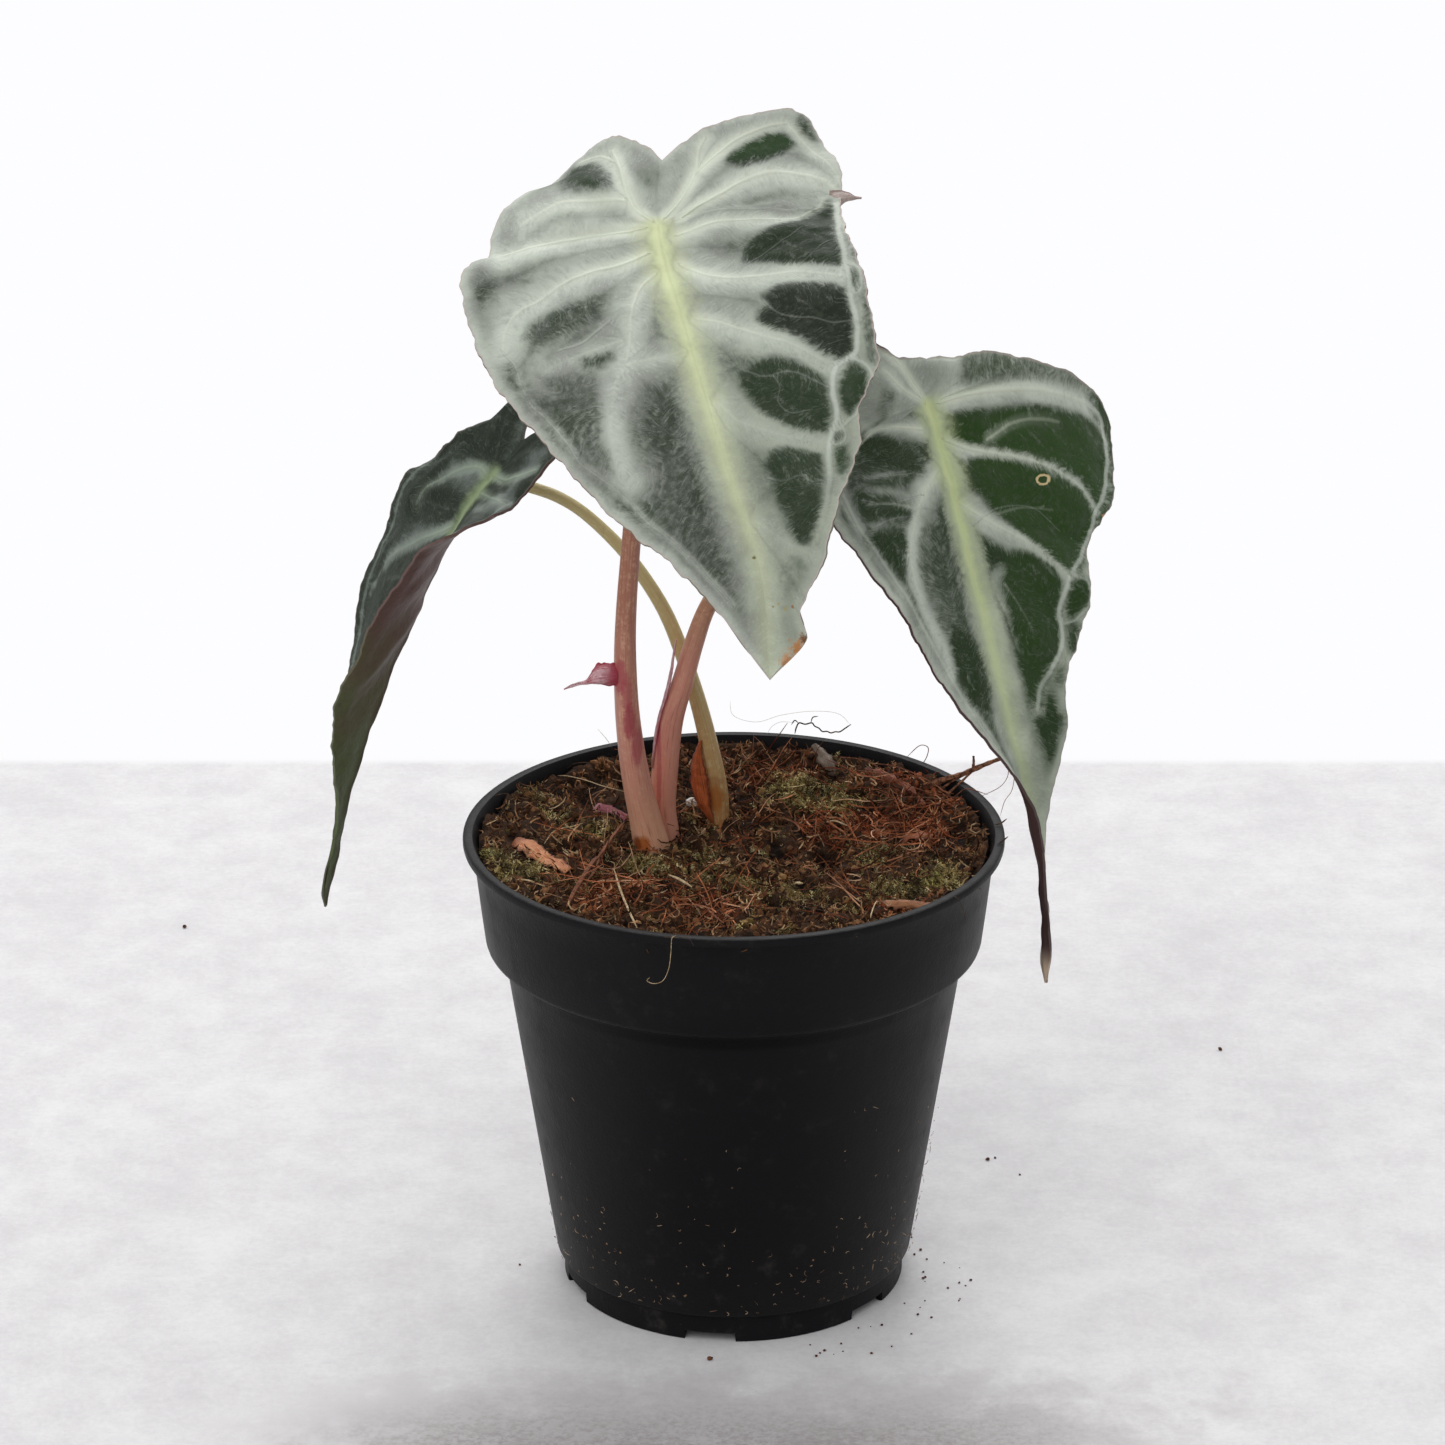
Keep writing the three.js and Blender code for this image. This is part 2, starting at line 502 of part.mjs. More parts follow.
function soilBlank() {
  const around = Array.from({ length: SOIL_SIDES }, (_, side) => (2 * Math.PI * side) / SOIL_SIDES);
  const at = (radius, angle, height) => (
    new THREE.Vector3(radius * Math.cos(angle), radius * Math.sin(angle), height));
  const rings = innerProfile(GAP).slice(1).map(([radius, height]) => (
    around.map((angle) => at(radius, angle, height))));
  for (let ring = SOIL_RINGS; ring > 0; ring -= 1) {
    rings.push(around.map((angle) => {
      const wall = collarInside(SOIL_LEVEL);
      const edgeHeight = soilHeight(wall * Math.cos(angle), wall * Math.sin(angle));
      const radius = (collarInside(edgeHeight) - GAP) * (ring / SOIL_RINGS);
      return at(radius, angle, soilHeight(radius * Math.cos(angle), radius * Math.sin(angle)));
    }));
  }
  return loft(rings);
}

function knobAndRoots(extra) {
  const rings = KNOB_PROFILE.map(([height, radius], level) => {
    const end = level === 0 ? -extra : extra;
    const lifted = level === 0 || level === KNOB_PROFILE.length - 1 ? height + end : height;
    return Array.from({ length: KNOB_SIDES }, (_, side) => {
      const angle = (2 * Math.PI * side) / KNOB_SIDES;
      const lumpy = radius + extra + 0.6 * Math.sin(3 * angle + height) * Math.min(1, (KNOB_TOP - height) / 8);
      return new THREE.Vector3(
        KNOB_CENTRE[0] + lumpy * Math.cos(angle), KNOB_CENTRE[1] + lumpy * Math.sin(angle), lifted);
    });
  });
  let body = solid(loft(rings));
  for (let root = 0; root < ROOT_COUNT; root += 1) {
    const angle = (2 * Math.PI * (root + 0.3 * Math.sin(5 * root))) / ROOT_COUNT;
    const [dx, dy] = [Math.cos(angle), Math.sin(angle)];
    const [cx, cy] = KNOB_CENTRE;
    const start = 68 + 4 * Math.sin(2.4 * root);
    const reach = ROOT_REACH * (0.75 + 0.2 * Math.sin(3.1 * root));
    const route = [
      [cx + 6 * dx, cy + 6 * dy, start + 1, ROOT_RADIUS],
      [cx + 14 * dx, cy + 14 * dy, start - 3, ROOT_RADIUS],
      [cx + (6 + reach * 0.7) * dx, cy + (6 + reach * 0.7) * dy, start - ROOT_DROP * 0.4, 1.3],
      [cx + reach * dx, cy + reach * dy, start - ROOT_DROP, ROOT_TIP_RADIUS],
    ];
    body = body.add(solid(stemGeometry(route, 5, 9, extra, extra)));
  }
  return body;
}

function makeSoil() {
  let soil = solid(soilBlank()).subtract(knobAndRoots(GAP));
  for (const route of Object.values(STALKS)) {
    soil = soil.subtract(solid(stemGeometry(route, STALK_SIDES, 6, GAP, GAP)));
  }
  return namedMesh("soil", geometryOf(soil), 0x3a2a1e, 0.95);
}

/** Point of a blade: side is -1 for the left half and 1 for the right half. */
function bladePoint(blade, side, rib, share) {
  const [endAlong, endAcross, wave] = along(side < 0 ? blade.left : blade.right, rib);
  const root = Math.max(along(blade.roots, rib)[0], 0);
  const place = root + (endAlong - root) * share ** RIB_BOW;
  const across = Math.max(endAcross, 0) * share;
  const half = 0.5;
  const [x, y, z, nx, ny, nz, liftLeft, liftRight, turnLeft, turnRight] = along(blade.spine, place);
  const after = new THREE.Vector3(...along(blade.spine, place + half));
  const tangent = after.sub(new THREE.Vector3(...along(blade.spine, place - half))).normalize();
  const facing = new THREE.Vector3(nx, ny, nz);
  facing.addScaledVector(tangent, -facing.dot(tangent)).normalize();
  const sideways = facing.clone().cross(tangent);
  const lift = THREE.MathUtils.degToRad(side < 0 ? liftLeft : liftRight);
  const bend = THREE.MathUtils.degToRad(side < 0 ? turnLeft : turnRight) / TURN_SPAN;
  const straight = Math.abs(bend) < 1e-5;
  const out = straight ? across * Math.cos(lift) : (Math.sin(lift + bend * across) - Math.sin(lift)) / bend;
  const up = straight ? across * Math.sin(lift) : (Math.cos(lift) - Math.cos(lift + bend * across)) / bend;
  const breadth = Math.min(1, across / 12);
  const quilt = QUILT * Math.sin(Math.PI * rib) ** 2 * Math.sin(Math.PI * share) * breadth;
  return new THREE.Vector3(x, y, z)
    .addScaledVector(sideways, side * out)
    .addScaledVector(facing, up + quilt + wave * share ** 3);
}

/** How far a rib stands below the sheet on the underside. */
function keel(blade, rib, share) {
  const toTip = 1 - rib / LAST_RIB;
  if (share === 0) return blade.keel * MIDRIB_TALL * toTip;
  const onVein = Math.cos(Math.PI * rib) ** 8;
  return VEIN_TALL * onVein * (1 - share) * toTip;
}

function makeBlade(name, blade, colour) {
  const upper = [];
  const depth = [];
  const known = new Map();
  const indexOf = (side, i, j) => {
    const rib = (LAST_RIB * i) / RIB_STEPS;
    const share = j / ACROSS_STEPS;
    const point = bladePoint(blade, side, rib, share);
    const key = point.toArray().map((value) => value.toFixed(2)).join();
    if (!known.has(key)) {
      known.set(key, upper.length);
      upper.push(point);
      depth.push(BLADE_THICK + keel(blade, rib, share));
    }
    return known.get(key);
  };

  const faces = [];
  const rims = {};
  for (const side of [-1, 1]) {
    const grid = Array.from({ length: RIB_STEPS + 1 }, (_, i) => (
      Array.from({ length: ACROSS_STEPS + 1 }, (__, j) => indexOf(side, i, j))));
    rims[side] = grid.map((row) => row[ACROSS_STEPS]);
    for (let i = 0; i < RIB_STEPS; i += 1) {
      for (let j = 0; j < ACROSS_STEPS; j += 1) {
        const [a, b, c, d] = [grid[i][j], grid[i + 1][j], grid[i + 1][j + 1], grid[i][j + 1]];
        for (const [p, q, r] of [[a, b, c], [a, c, d]]) {
          if (p !== q && q !== r && r !== p) faces.push(side < 0 ? [p, r, q] : [p, q, r]);
        }
      }
    }
  }

  const normals = upper.map(() => new THREE.Vector3());
  for (const [a, b, c] of faces) {
    const normal = upper[b].clone().sub(upper[a]).cross(upper[c].clone().sub(upper[a]));
    for (const index of [a, b, c]) normals[index].add(normal);
  }
  const lower = upper.map((point, k) => point.clone().addScaledVector(normals[k].normalize(), -depth[k]));
  const count = upper.length;
  const triangles = [...faces, ...faces.map(([a, b, c]) => [a + count, c + count, b + count])];
  const rim = [...rims[1], ...rims[-1].slice(1, -1).reverse()].filter((a, k, all) => a !== all[k - 1]);
  rim.forEach((a, k) => {
    const b = rim[(k + 1) % rim.length];
    triangles.push([a, b, b + count], [a, b + count, a + count]);
  });
  return namedMesh(name, solidGeometry([...upper, ...lower], triangles), colour, 0.55);
}

function makeGrain() {
  const grain = new THREE.IcosahedronGeometry(GRAIN_RADIUS, 1);
  const [x, y] = GRAIN_CENTRE;
  grain.scale(1, 0.85, 0.8);
  grain.translate(x, y, soilHeight(x, y) + GRAIN_RADIUS + 0.4);
  return namedMesh("perlite_grain", geometryOf(solid(grain)), 0xd8d2c8, 0.9);
}

const group = new THREE.Group();
group.add(makePot());
group.add(makeSoil());
group.add(namedMesh("rootstock", geometryOf(knobAndRoots(0)), 0x8a6a48, 0.8));
const STALK_COLOURS = { front: 0x935f55, right: 0x8c6650, left: 0xa39a62 };
for (const [leaf, route] of Object.entries(STALKS)) {
  group.add(namedMesh(`stalk_${leaf}`, stemGeometry(route, STALK_SIDES, 6), STALK_COLOURS[leaf], 0.5));
}
const BLADE_COLOURS = { front: 0x7d857a, right: 0x4b5a3c, left: 0x465240 };
for (const [leaf, blade] of Object.entries(BLADES)) {
  group.add(makeBlade(`blade_${leaf}`, blade, BLADE_COLOURS[leaf]));
}
const STRIPS = [[SCRAPS, ({ rows }) => rows], [SHEATHS, sheathRows], [LITTER, litterRows]];
for (const [scraps, rowsOf] of STRIPS) {
  for (const [name, scrap] of Object.entries(scraps)) {
    group.add(namedMesh(name, stripGeometry(rowsOf(scrap), SCRAP_THICK), scrap.colour, 0.7));
  }
}
group.add(makeGrain());
group.add(namedMesh("coir_twig", stemGeometry(TWIG, TWIG_SIDES, 4), 0x8a5638, 0.9));

export default group;
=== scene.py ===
import json
import math
import random

import bmesh
import bpy
import numpy as np
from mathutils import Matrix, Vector, noise

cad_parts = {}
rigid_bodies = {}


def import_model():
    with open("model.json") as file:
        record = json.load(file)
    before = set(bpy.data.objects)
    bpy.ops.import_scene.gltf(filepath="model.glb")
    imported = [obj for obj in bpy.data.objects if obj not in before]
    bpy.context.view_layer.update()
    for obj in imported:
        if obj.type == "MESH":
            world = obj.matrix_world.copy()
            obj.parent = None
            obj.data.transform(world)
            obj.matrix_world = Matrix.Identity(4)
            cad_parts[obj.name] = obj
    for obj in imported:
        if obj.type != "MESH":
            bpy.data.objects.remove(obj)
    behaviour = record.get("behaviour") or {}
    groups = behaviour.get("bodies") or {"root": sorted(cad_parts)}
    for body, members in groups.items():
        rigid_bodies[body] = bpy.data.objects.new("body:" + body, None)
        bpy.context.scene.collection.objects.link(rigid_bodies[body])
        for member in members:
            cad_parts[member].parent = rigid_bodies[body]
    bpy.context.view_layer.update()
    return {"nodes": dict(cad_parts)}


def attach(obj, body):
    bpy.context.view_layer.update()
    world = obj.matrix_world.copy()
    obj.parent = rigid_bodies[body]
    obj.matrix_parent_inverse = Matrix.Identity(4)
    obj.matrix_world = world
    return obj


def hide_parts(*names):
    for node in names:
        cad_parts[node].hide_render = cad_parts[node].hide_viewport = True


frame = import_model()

scene = bpy.context.scene
scene.view_settings.view_transform = "Standard"

# The view: a long lens, level to the sides and looking down on the plant by about twenty
# degrees, from a metre and a quarter away. Its focal length is given in pixels of the frame.
VIEW_WIDTH = 1445
VIEW_FOCUS = 5417
VIEW_DOWN = 21.52
VIEW_PLACE = (-0.0025, -1.1073, 0.5694)
SENSOR = 36


def linked(name, data):
    """A new object with that data, in the scene."""
    thing = bpy.data.objects.new(name, data)
    scene.collection.objects.link(thing)
    return thing


camera = linked("camera", bpy.data.cameras.new("camera"))
camera.data.sensor_width = SENSOR
camera.data.lens = SENSOR * VIEW_FOCUS / VIEW_WIDTH
camera.data.clip_end = 20
camera.location = VIEW_PLACE
camera.rotation_euler = (math.radians(90 - VIEW_DOWN), 0, 0)
scene.camera = camera

# The studio: a pale grey floor of fine plaster that ends behind the plant, in front of a white
# wall. Soft light falls from above and from the sides, and less of it from the front.
FLOOR_SIDE = 2
FLOOR_FRONT = -3
FLOOR_BACK = 0.3095
WALL_WHITE = "fdfdff"
LIGHT_TARGET = (0, 0, 0.12)
LIGHTS = (
    ("softbox", (-0.4, -0.95, 1.05), 1.8, 12.0),
    ("back light", (0.03, 0.95, 1.1), 0.7, 8.5),
)


class Wire:
    """A socket in a node tree. Arithmetic on wires adds Math nodes to the tree."""

    def __init__(self, tree, end=None):
        self.tree = tree
        self.end = end

    def add(self, kind, settings=None, inputs=None, out=0):
        """Adds a node: its settings first, then the values or wires of its sockets."""
        node = self.tree.nodes.new(kind)
        for name, value in (settings or {}).items():
            setattr(node, name, value)
        for name, value in (inputs or {}).items():
            if isinstance(value, Wire):
                self.tree.links.new(value.end, node.inputs[name])
            else:
                node.inputs[name].default_value = value
        return Wire(self.tree, node.outputs[out] if node.outputs else None)

    def other(self, out):
        """Another output of this wire's node."""
        return Wire(self.tree, self.end.node.outputs[out])

    def place(self):
        """Object coordinates."""
        return self.add("ShaderNodeTexCoord", out=3)

    def field(self, name, out=2):
        """An attribute of the mesh: a number, or a vector where out is 1."""
        return self.add("ShaderNodeAttribute", {"attribute_name": name}, out=out)

    def split(self):
        """The x, y and z of this vector."""
        return [self.add("ShaderNodeSeparateXYZ", {}, {0: self}, k) for k in range(3)]

    def math(self, operation, *values):
        return self.add("ShaderNodeMath", {"operation": operation}, dict(enumerate(values)))

    def larger(self, other):
        return self.math("MAXIMUM", self, other)

    def __abs__(self):
        return self.math("ABSOLUTE", self)

    def __add__(self, other):
        return self.math("ADD", self, other)

    def __radd__(self, other):
        return self.math("ADD", other, self)

    def __sub__(self, other):
        return self.math("SUBTRACT", self, other)

    def __rsub__(self, other):
        return self.math("SUBTRACT", other, self)

    def __mul__(self, other):
        return self.math("MULTIPLY", self, other)

    def __rmul__(self, other):
        return self.math("MULTIPLY", other, self)

    def __truediv__(self, other):
        return self.math("DIVIDE", self, other)

    def __pow__(self, other):
        return self.math("POWER", self, other)

    def rise(self, low, high):
        """0 below low and 1 above high, with a smooth step between them."""
        return self.add("ShaderNodeMapRange", {"interpolation_type": "SMOOTHSTEP"},
                        {"Value": self, "From Min": low, "From Max": high})

    def fall(self, low, high):
        """1 below low and 0 above high."""
        return 1 - self.rise(low, high)

    def blend(self, first, second):
        """The first colour where this wire is 0, and the second where it is 1."""
        return self.add("ShaderNodeMix", {"data_type": "RGBA"}, {0: self, 6: first, 7: second}, 2)

    def ramp(self, stops, shape="LINEAR"):
        """The colour of the stops at this wire's value."""
        ramp = self.add("ShaderNodeValToRGB", {}, {0: self})
        band = ramp.end.node.color_ramp
        band.interpolation = shape
        while len(band.elements) < len(stops):
            band.elements.new(1)
        for element, (place, code) in zip(band.elements, stops):
            element.position = place
            element.color = tint(code)
        return ramp

    def stretched(self, factors):
        """This vector with its x, y and z times a factor each."""
        return self.add("ShaderNodeVectorMath", {"operation": "MULTIPLY"}, {0: self, 1: factors})

    def grain(self, detail, rough, scale=1.0):
        """Noise from 0 to 1 at the place that this wire gives."""
        return self.add("ShaderNodeTexNoise", {}, {
            "Vector": self, "Scale": scale, "Detail": detail, "Roughness": rough})

    def noise(self, place, size, detail=3.0, rough=0.55, offset=0.0):
        """Noise from 0 to 1 with lumps of the given size, in metres."""
        moved = self.add("ShaderNodeVectorMath", {"operation": "ADD"}, {0: place, 1: (offset,) * 3})
        return moved.grain(detail, rough, 1 / size)


def tint(code):
    """Linear colour of a six-digit web colour."""
    shares = [int(code[k:k + 2], 16) / 255 for k in (0, 2, 4)]
    return (*[s / 12.92 if s <= 0.04045 else ((s + 0.055) / 1.055) ** 2.4 for s in shares], 1)


def tints(codes):
    return [tint(code) for code in codes]


def new_material(name):
    """An empty material and the wire that its nodes are added from."""
    material = bpy.data.materials.new(name)
    material.use_nodes = True
    material.node_tree.nodes.clear()
    return material, Wire(material.node_tree)


def finish(paint, colour, roughness, bump, bump_height, shine=0.5):
    """Closes a material: the surface with its colour, roughness, shine and fine relief."""
    relief = paint.add("ShaderNodeBump", {}, {"Strength": 1.0, "Distance": bump_height, "Height": bump})
    surface = paint.add("ShaderNodeBsdfPrincipled", {}, {
        "Base Color": colour, "Roughness": roughness, "Normal": relief, "Specular IOR Level": shine})
    paint.add("ShaderNodeOutputMaterial", {}, {"Surface": surface})


def floor_material():
    """Mottled plaster with fine cracks, and a painted shadow in front of the pot, with blotches in it that
    are partly stain and partly painted shadow.
    """
    material, paint = new_material("floor plaster")
    place = paint.place()
    clouds = paint.noise(place, 0.05, 6, 0.7)
    blots = paint.noise(place, 0.014, 5, 0.75, 2)
    grain = paint.noise(place, 0.0018, 4, 0.8)
    shade = clouds * 0.35 + blots * 0.35 + grain * 0.3
    colour = shade.rise(0.36, 0.64).blend(tint("c8c6c7"), tint("dbdada"))
    x, depth, _ = place.split()
    wander = (blots - 0.5) * 0.1
    # Painted shadow: a patch in front of the pot, darkened where the pot's shadow falls forward on the
    # floor.
    near = (depth + wander * 0.5).fall(-0.085, -0.045) * (depth + wander).rise(-0.24, -0.14)
    near = near * (x + wander).rise(-0.12, -0.05) * (x + wander).fall(0.04, 0.12)
    # Blotches in that patch, partly stain and partly more painted shadow.
    shadow_and_stain = near * (grain * 0.5 + blots * 0.5).rise(0.4, 0.6)
    colour = (near * 0.44 + shadow_and_stain * 0.45).blend(colour, tint("8d8786"))
    scratch = paint.add("ShaderNodeTexVoronoi", {"feature": "DISTANCE_TO_EDGE"}, {
        "Vector": place + (clouds - 0.5) * 0.3, "Scale": 7})
    crack = scratch.fall(0.0, 0.004) * clouds.rise(0.53, 0.6)
    colour = (crack * 0.12).blend(colour, tint("8d8886"))
    surface = paint.add("ShaderNodeBsdfPrincipled", {}, {
        "Base Color": colour, "Roughness": 0.7, "Specular IOR Level": 0.25})
    white = paint.add("ShaderNodeEmission", {}, {"Color": tint(WALL_WHITE), "Strength": 1.0})
    far = depth.rise(FLOOR_BACK - 0.006, FLOOR_BACK)
    mixed = paint.add("ShaderNodeMixShader", {}, {0: far, 1: surface, 2: white})
    paint.add("ShaderNodeOutputMaterial", {}, {"Surface": mixed})
    return material


floor_mesh = bpy.data.meshes.new("floor")
floor_mesh.from_pydata([
    (-FLOOR_SIDE, FLOOR_FRONT, 0), (FLOOR_SIDE, FLOOR_FRONT, 0),
    (FLOOR_SIDE, FLOOR_BACK, 0), (-FLOOR_SIDE, FLOOR_BACK, 0)], [], [(0, 1, 2, 3)])
floor_mesh.materials.append(floor_material())
floor = linked("floor", floor_mesh)

scene.world = bpy.data.worlds.new("studio")
scene.world.use_nodes = True
scene.world.node_tree.nodes.clear()
air = Wire(scene.world.node_tree)
_, to_back, to_top = air.add("ShaderNodeTexCoord").split()
lit = to_back.rise(-0.9, 0.35) * 0.52 + to_top.rise(0.0, 0.9) * 0.35 + 0.12
glow = lit.blend((0, 0, 0, 1), tint(WALL_WHITE))
shown = air.add("ShaderNodeLightPath").blend(glow, tint(WALL_WHITE))
backdrop = air.add("ShaderNodeBackground", {}, {"Color": shown, "Strength": 1.0})
air.add("ShaderNodeOutputWorld", {}, {"Surface": backdrop})

for name, place, size, power in LIGHTS:
    light = linked(name, bpy.data.lights.new(name, "AREA"))
    light.data.size = size
    light.data.energy = power
    light.location = place
    light.rotation_euler = (Vector(LIGHT_TARGET) - Vector(place)).to_track_quat("-Z", "Y").to_euler()

# The pot: a thin-walled nursery pot, injection moulded in charcoal plastic, with a deep collar,
# a narrow lip and a ring of low feet. Its floor is raised, with drain holes and a flat middle.
MM = 0.001
POT_WALL = [
    (0, 0), (10.6, 0), (11.3, 0.5), (14, 4.6), (36.1, 4.6), (36.9, 0.3), (37.2, 0), (38.2, 0),
    (38.5, 0.3), (38.5, 5.9), (38.8, 6.3), (39.8, 6.8), (40.25, 7.5), (42, 18.7), (44, 31.9),
    (46, 45.1), (48, 58.3), (50, 71.5), (51.15, 79.4), (51.5, 80.4), (52.4, 81.2), (54.6, 81.8),
    (55.1, 82.2), (55.35, 83), (56.2, 90), (57.1, 98), (57.9, 104.2), (58.2, 104.7), (59.5, 105),
    (59.9, 105.2), (60, 105.6), (60, 106.4), (59.9, 106.8), (59.5, 107), (58.3, 107), (57.9, 106.9),
    (57.5, 106.4), (56.8, 104.4), (55.6, 95), (54.35, 84), (54.1, 83.3), (53.6, 82.8),
    (51, 81.6), (50.2, 81), (50, 80), (47, 60), (43.5, 37), (40.5, 17), (39.2, 8.5), (37.8, 6.2),
    (37, 6), (13, 6), (10.4, 1.5), (9.8, 1.4), (0, 1.4),
]
POT_STEP = 2.5
POT_FOOT_RADII = (36.5, 38.6)
POT_FOOT_TOP = 0.4
POT_FOOT_RISE = 2.0
POT_GAPS = [-8 + 60 * k for k in range(6)]
POT_GAP_HALF = 8.5
DRAIN_OUT, DRAIN_RADIUS, DRAIN_SIDES = 28, 4, 20
DRAIN_LOW, DRAIN_HIGH = 1, 9
COLLAR_FOOT, COLLAR_TALL = 82, 23
COLLAR_RADIUS, COLLAR_WIDENS, COLLAR_WALL = 55.3, 2.7, 1.2


def degrees_round(step, extra):
    """Angles round a circle, with extra ones close together where an edge is sharp."""
    angles = set(np.arange(0, 360, step).round(3))
    for angle in extra:
        angles |= {round((angle - 0.12) % 360, 3), round((angle + 0.12) % 360, 3)}
    return sorted(angles)


def mesh_of(name, points, faces, **attributes):
    """A mesh from points in millimetres, with its faces outwards and its point attributes."""
    mesh = bpy.data.meshes.new(name)
    mesh.from_pydata((np.asarray(points) * MM).tolist(), [], faces)
    for key, values in attributes.items():
        values = np.asarray(values, np.float32)
        if values.ndim == 2:
            mesh.attributes.new(key, "FLOAT_VECTOR", "POINT").data.foreach_set("vector", values.ravel())
        else:
            mesh.attributes.new(key, "FLOAT", "POINT").data.foreach_set("value", values)
    return mesh


def turned_faces(count, rings):
    """Faces of a body of revolution: a point, rings of points, and a point again."""
    faces = []
    top = 1 + (rings - 1) * count
    for k in range(count):
        after = (k + 1) % count
        faces.append((0, 1 + after, 1 + k))
        for low in range(1, top, count):
            faces.append((low + k, low + after, low + count + after, low + count + k))
        faces.append((top + k, top + after, top + count))
    return faces


def cut_from(mesh, cutters):
    """The mesh with the cutting meshes taken out of it."""
    blank = linked("blank", mesh)
    for cutter_mesh in cutters:
        cut = blank.modifiers.new("cut", "BOOLEAN")
        cut.operation = "DIFFERENCE"
        cut.solver = "EXACT"
        cut.object = linked("cutter", cutter_mesh)
    graph = bpy.context.evaluated_depsgraph_get()
    result = bpy.data.meshes.new_from_object(blank.evaluated_get(graph))
    for cut in list(blank.modifiers):
        bpy.data.objects.remove(cut.object)
    bpy.data.objects.remove(blank)
    return result


def add_piece(name, mesh, material, slot, *stands_for, sharp=35):
    """Puts a finished mesh on the plant, in the place of the named solids."""
    piece = linked(name, mesh)
    if material:
        mesh.materials.clear()
        mesh.materials.append(material)
    mesh.shade_smooth()
    mesh.set_sharp_from_angle(angle=math.radians(sharp))
    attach(piece, "root")
    if stands_for:
        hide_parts(*stands_for)
    return piece


def pot_point(radius, height, angle):
    """A point of the pot, with the angle clockwise from the front."""
    off = min(abs((angle - gap + 180) % 360 - 180) for gap in POT_GAPS)
    on_foot = height < POT_FOOT_TOP and POT_FOOT_RADII[0] < radius < POT_FOOT_RADII[1]
    if on_foot and off < POT_GAP_HALF:
        height += POT_FOOT_RISE
    turn = math.radians(angle - 90)
    return radius * math.cos(turn), radius * math.sin(turn), height


def pot_blank():
    """The pot's wall turned round its axis, with the gaps in its foot."""
    gap_sides = [gap + way * POT_GAP_HALF for gap in POT_GAPS for way in (-1, 1)]
    angles = degrees_round(POT_STEP, gap_sides)
    points = [pot_point(*POT_WALL[0], 0)]
    for radius, height in POT_WALL[1:-1]:
        points += [pot_point(radius, height, angle) for angle in angles]
    points.append(pot_point(*POT_WALL[-1], 0))
    return mesh_of("pot", points, turned_faces(len(angles), len(POT_WALL) - 2))


def drills():
    """Upright round bars where the drain holes go."""
    points, faces = [], []
    sides = range(DRAIN_SIDES)
    for gap in POT_GAPS:
        turn = math.radians(gap - 90)
        first = len(points)
        top = first + DRAIN_SIDES
        for height in (DRAIN_LOW, DRAIN_HIGH):
            for k in sides:
                around = 2 * math.pi * k / DRAIN_SIDES
                points.append((DRAIN_OUT * math.cos(turn) + DRAIN_RADIUS * math.cos(around),
                               DRAIN_OUT * math.sin(turn) + DRAIN_RADIUS * math.sin(around), height))
        faces += [tuple(first + k for k in reversed(sides)), tuple(top + k for k in sides)]
        afters = [(k + 1) % DRAIN_SIDES for k in sides]
        faces += [(first + k, first + after, top + after, top + k) for k, after in zip(sides, afters)]
    return mesh_of("drills", points, faces)


def pot_material():
    """Charcoal plastic, dusty near its foot and its rim, with rare specks and painted shade in a band under
    the collar.
    """
    material, paint = new_material("charcoal pot plastic")
    place = paint.place()
    height = place.split()[2]
    clouds = paint.noise(place, 0.03, 4)
    haze = paint.noise(place, 0.006, 5, 0.7, 3)
    grain = paint.noise(place, 0.0006, 2, 0.6, 5)
    body = clouds.blend(tint("0f0f11"), tint("161517"))
    dust = haze.rise(0.52, 0.8) * (0.16 + 0.3 * height.fall(0.0, 0.04) + 0.2 * height.rise(0.1, 0.107))
    dusty = dust.blend(body, tint("4a4540"))
    spots = paint.add("ShaderNodeTexVoronoi", {}, {"Vector": place, "Scale": 330})
    rare = paint.noise(place, 0.012, 2, 0.5, 9).rise(0.56, 0.62)
    speck = spots.fall(0.06, 0.1) * rare * height.fall(0.02, 0.055)
    colour = speck.blend(dusty, tint("8a6a4e"))
    # Painted shade: a near-black band on the wall just under the collar's step, where the step shades it.
    collar_shade = height.rise(0.0765, 0.078) * height.fall(0.0805, 0.082)
    colour = (collar_shade * 0.75).blend(colour, tint("040404"))
    roughness = 0.36 + haze * 0.16 + dust * 0.6
    finish(paint, colour, roughness, grain + haze * 2, 0.00006, 0.1)
    return material


add_piece("nursery_pot", cut_from(pot_blank(), [drills()]), pot_material(), "pot", "pot")

# The soil: peat with coir dust, filled to just under the rim and left uneven, with heaps and a
# hollow beside the stalks, whose shade is painted darker. The stalks stand in plain holes in it.
SOIL_LEVEL = 101.2
SOIL_BANK = 3.2
SOIL_RADIUS = 58
SOIL_EDGE = 56
SOIL_HEAPS = [
    (14, 28, 3.2, 9), (32, 32, 1.2, 12), (43, -11, 1.4, 10), (-52, 6, 1, 12), (-30, 12, 0.8, 8),
    (-34, 32, -1.6, 9), (16, -2, -3.2, 7), (-14, -28, 1.6, 12), (12, -40, 0.8, 13),
]
SOIL_SIDE = [
    (0, 1.75), (9.65, 1.75), (12.65, 6.35), (37.65, 6.35), (38.85, 8.85), (49.65, 81.4),
    (53.15, 82.95), (53.8, 84.1), (54.9, 94),
]
SOIL_GAP = 0.35
SOIL_ROUND = 260
SOIL_RINGS = 92
SOIL_CALM = [(-46, -1, 5), (-40, -8, 5), (-36, -13, 4), (-30, 23, 4), (-25, 19, 3), (-9.4, 26, 3)]
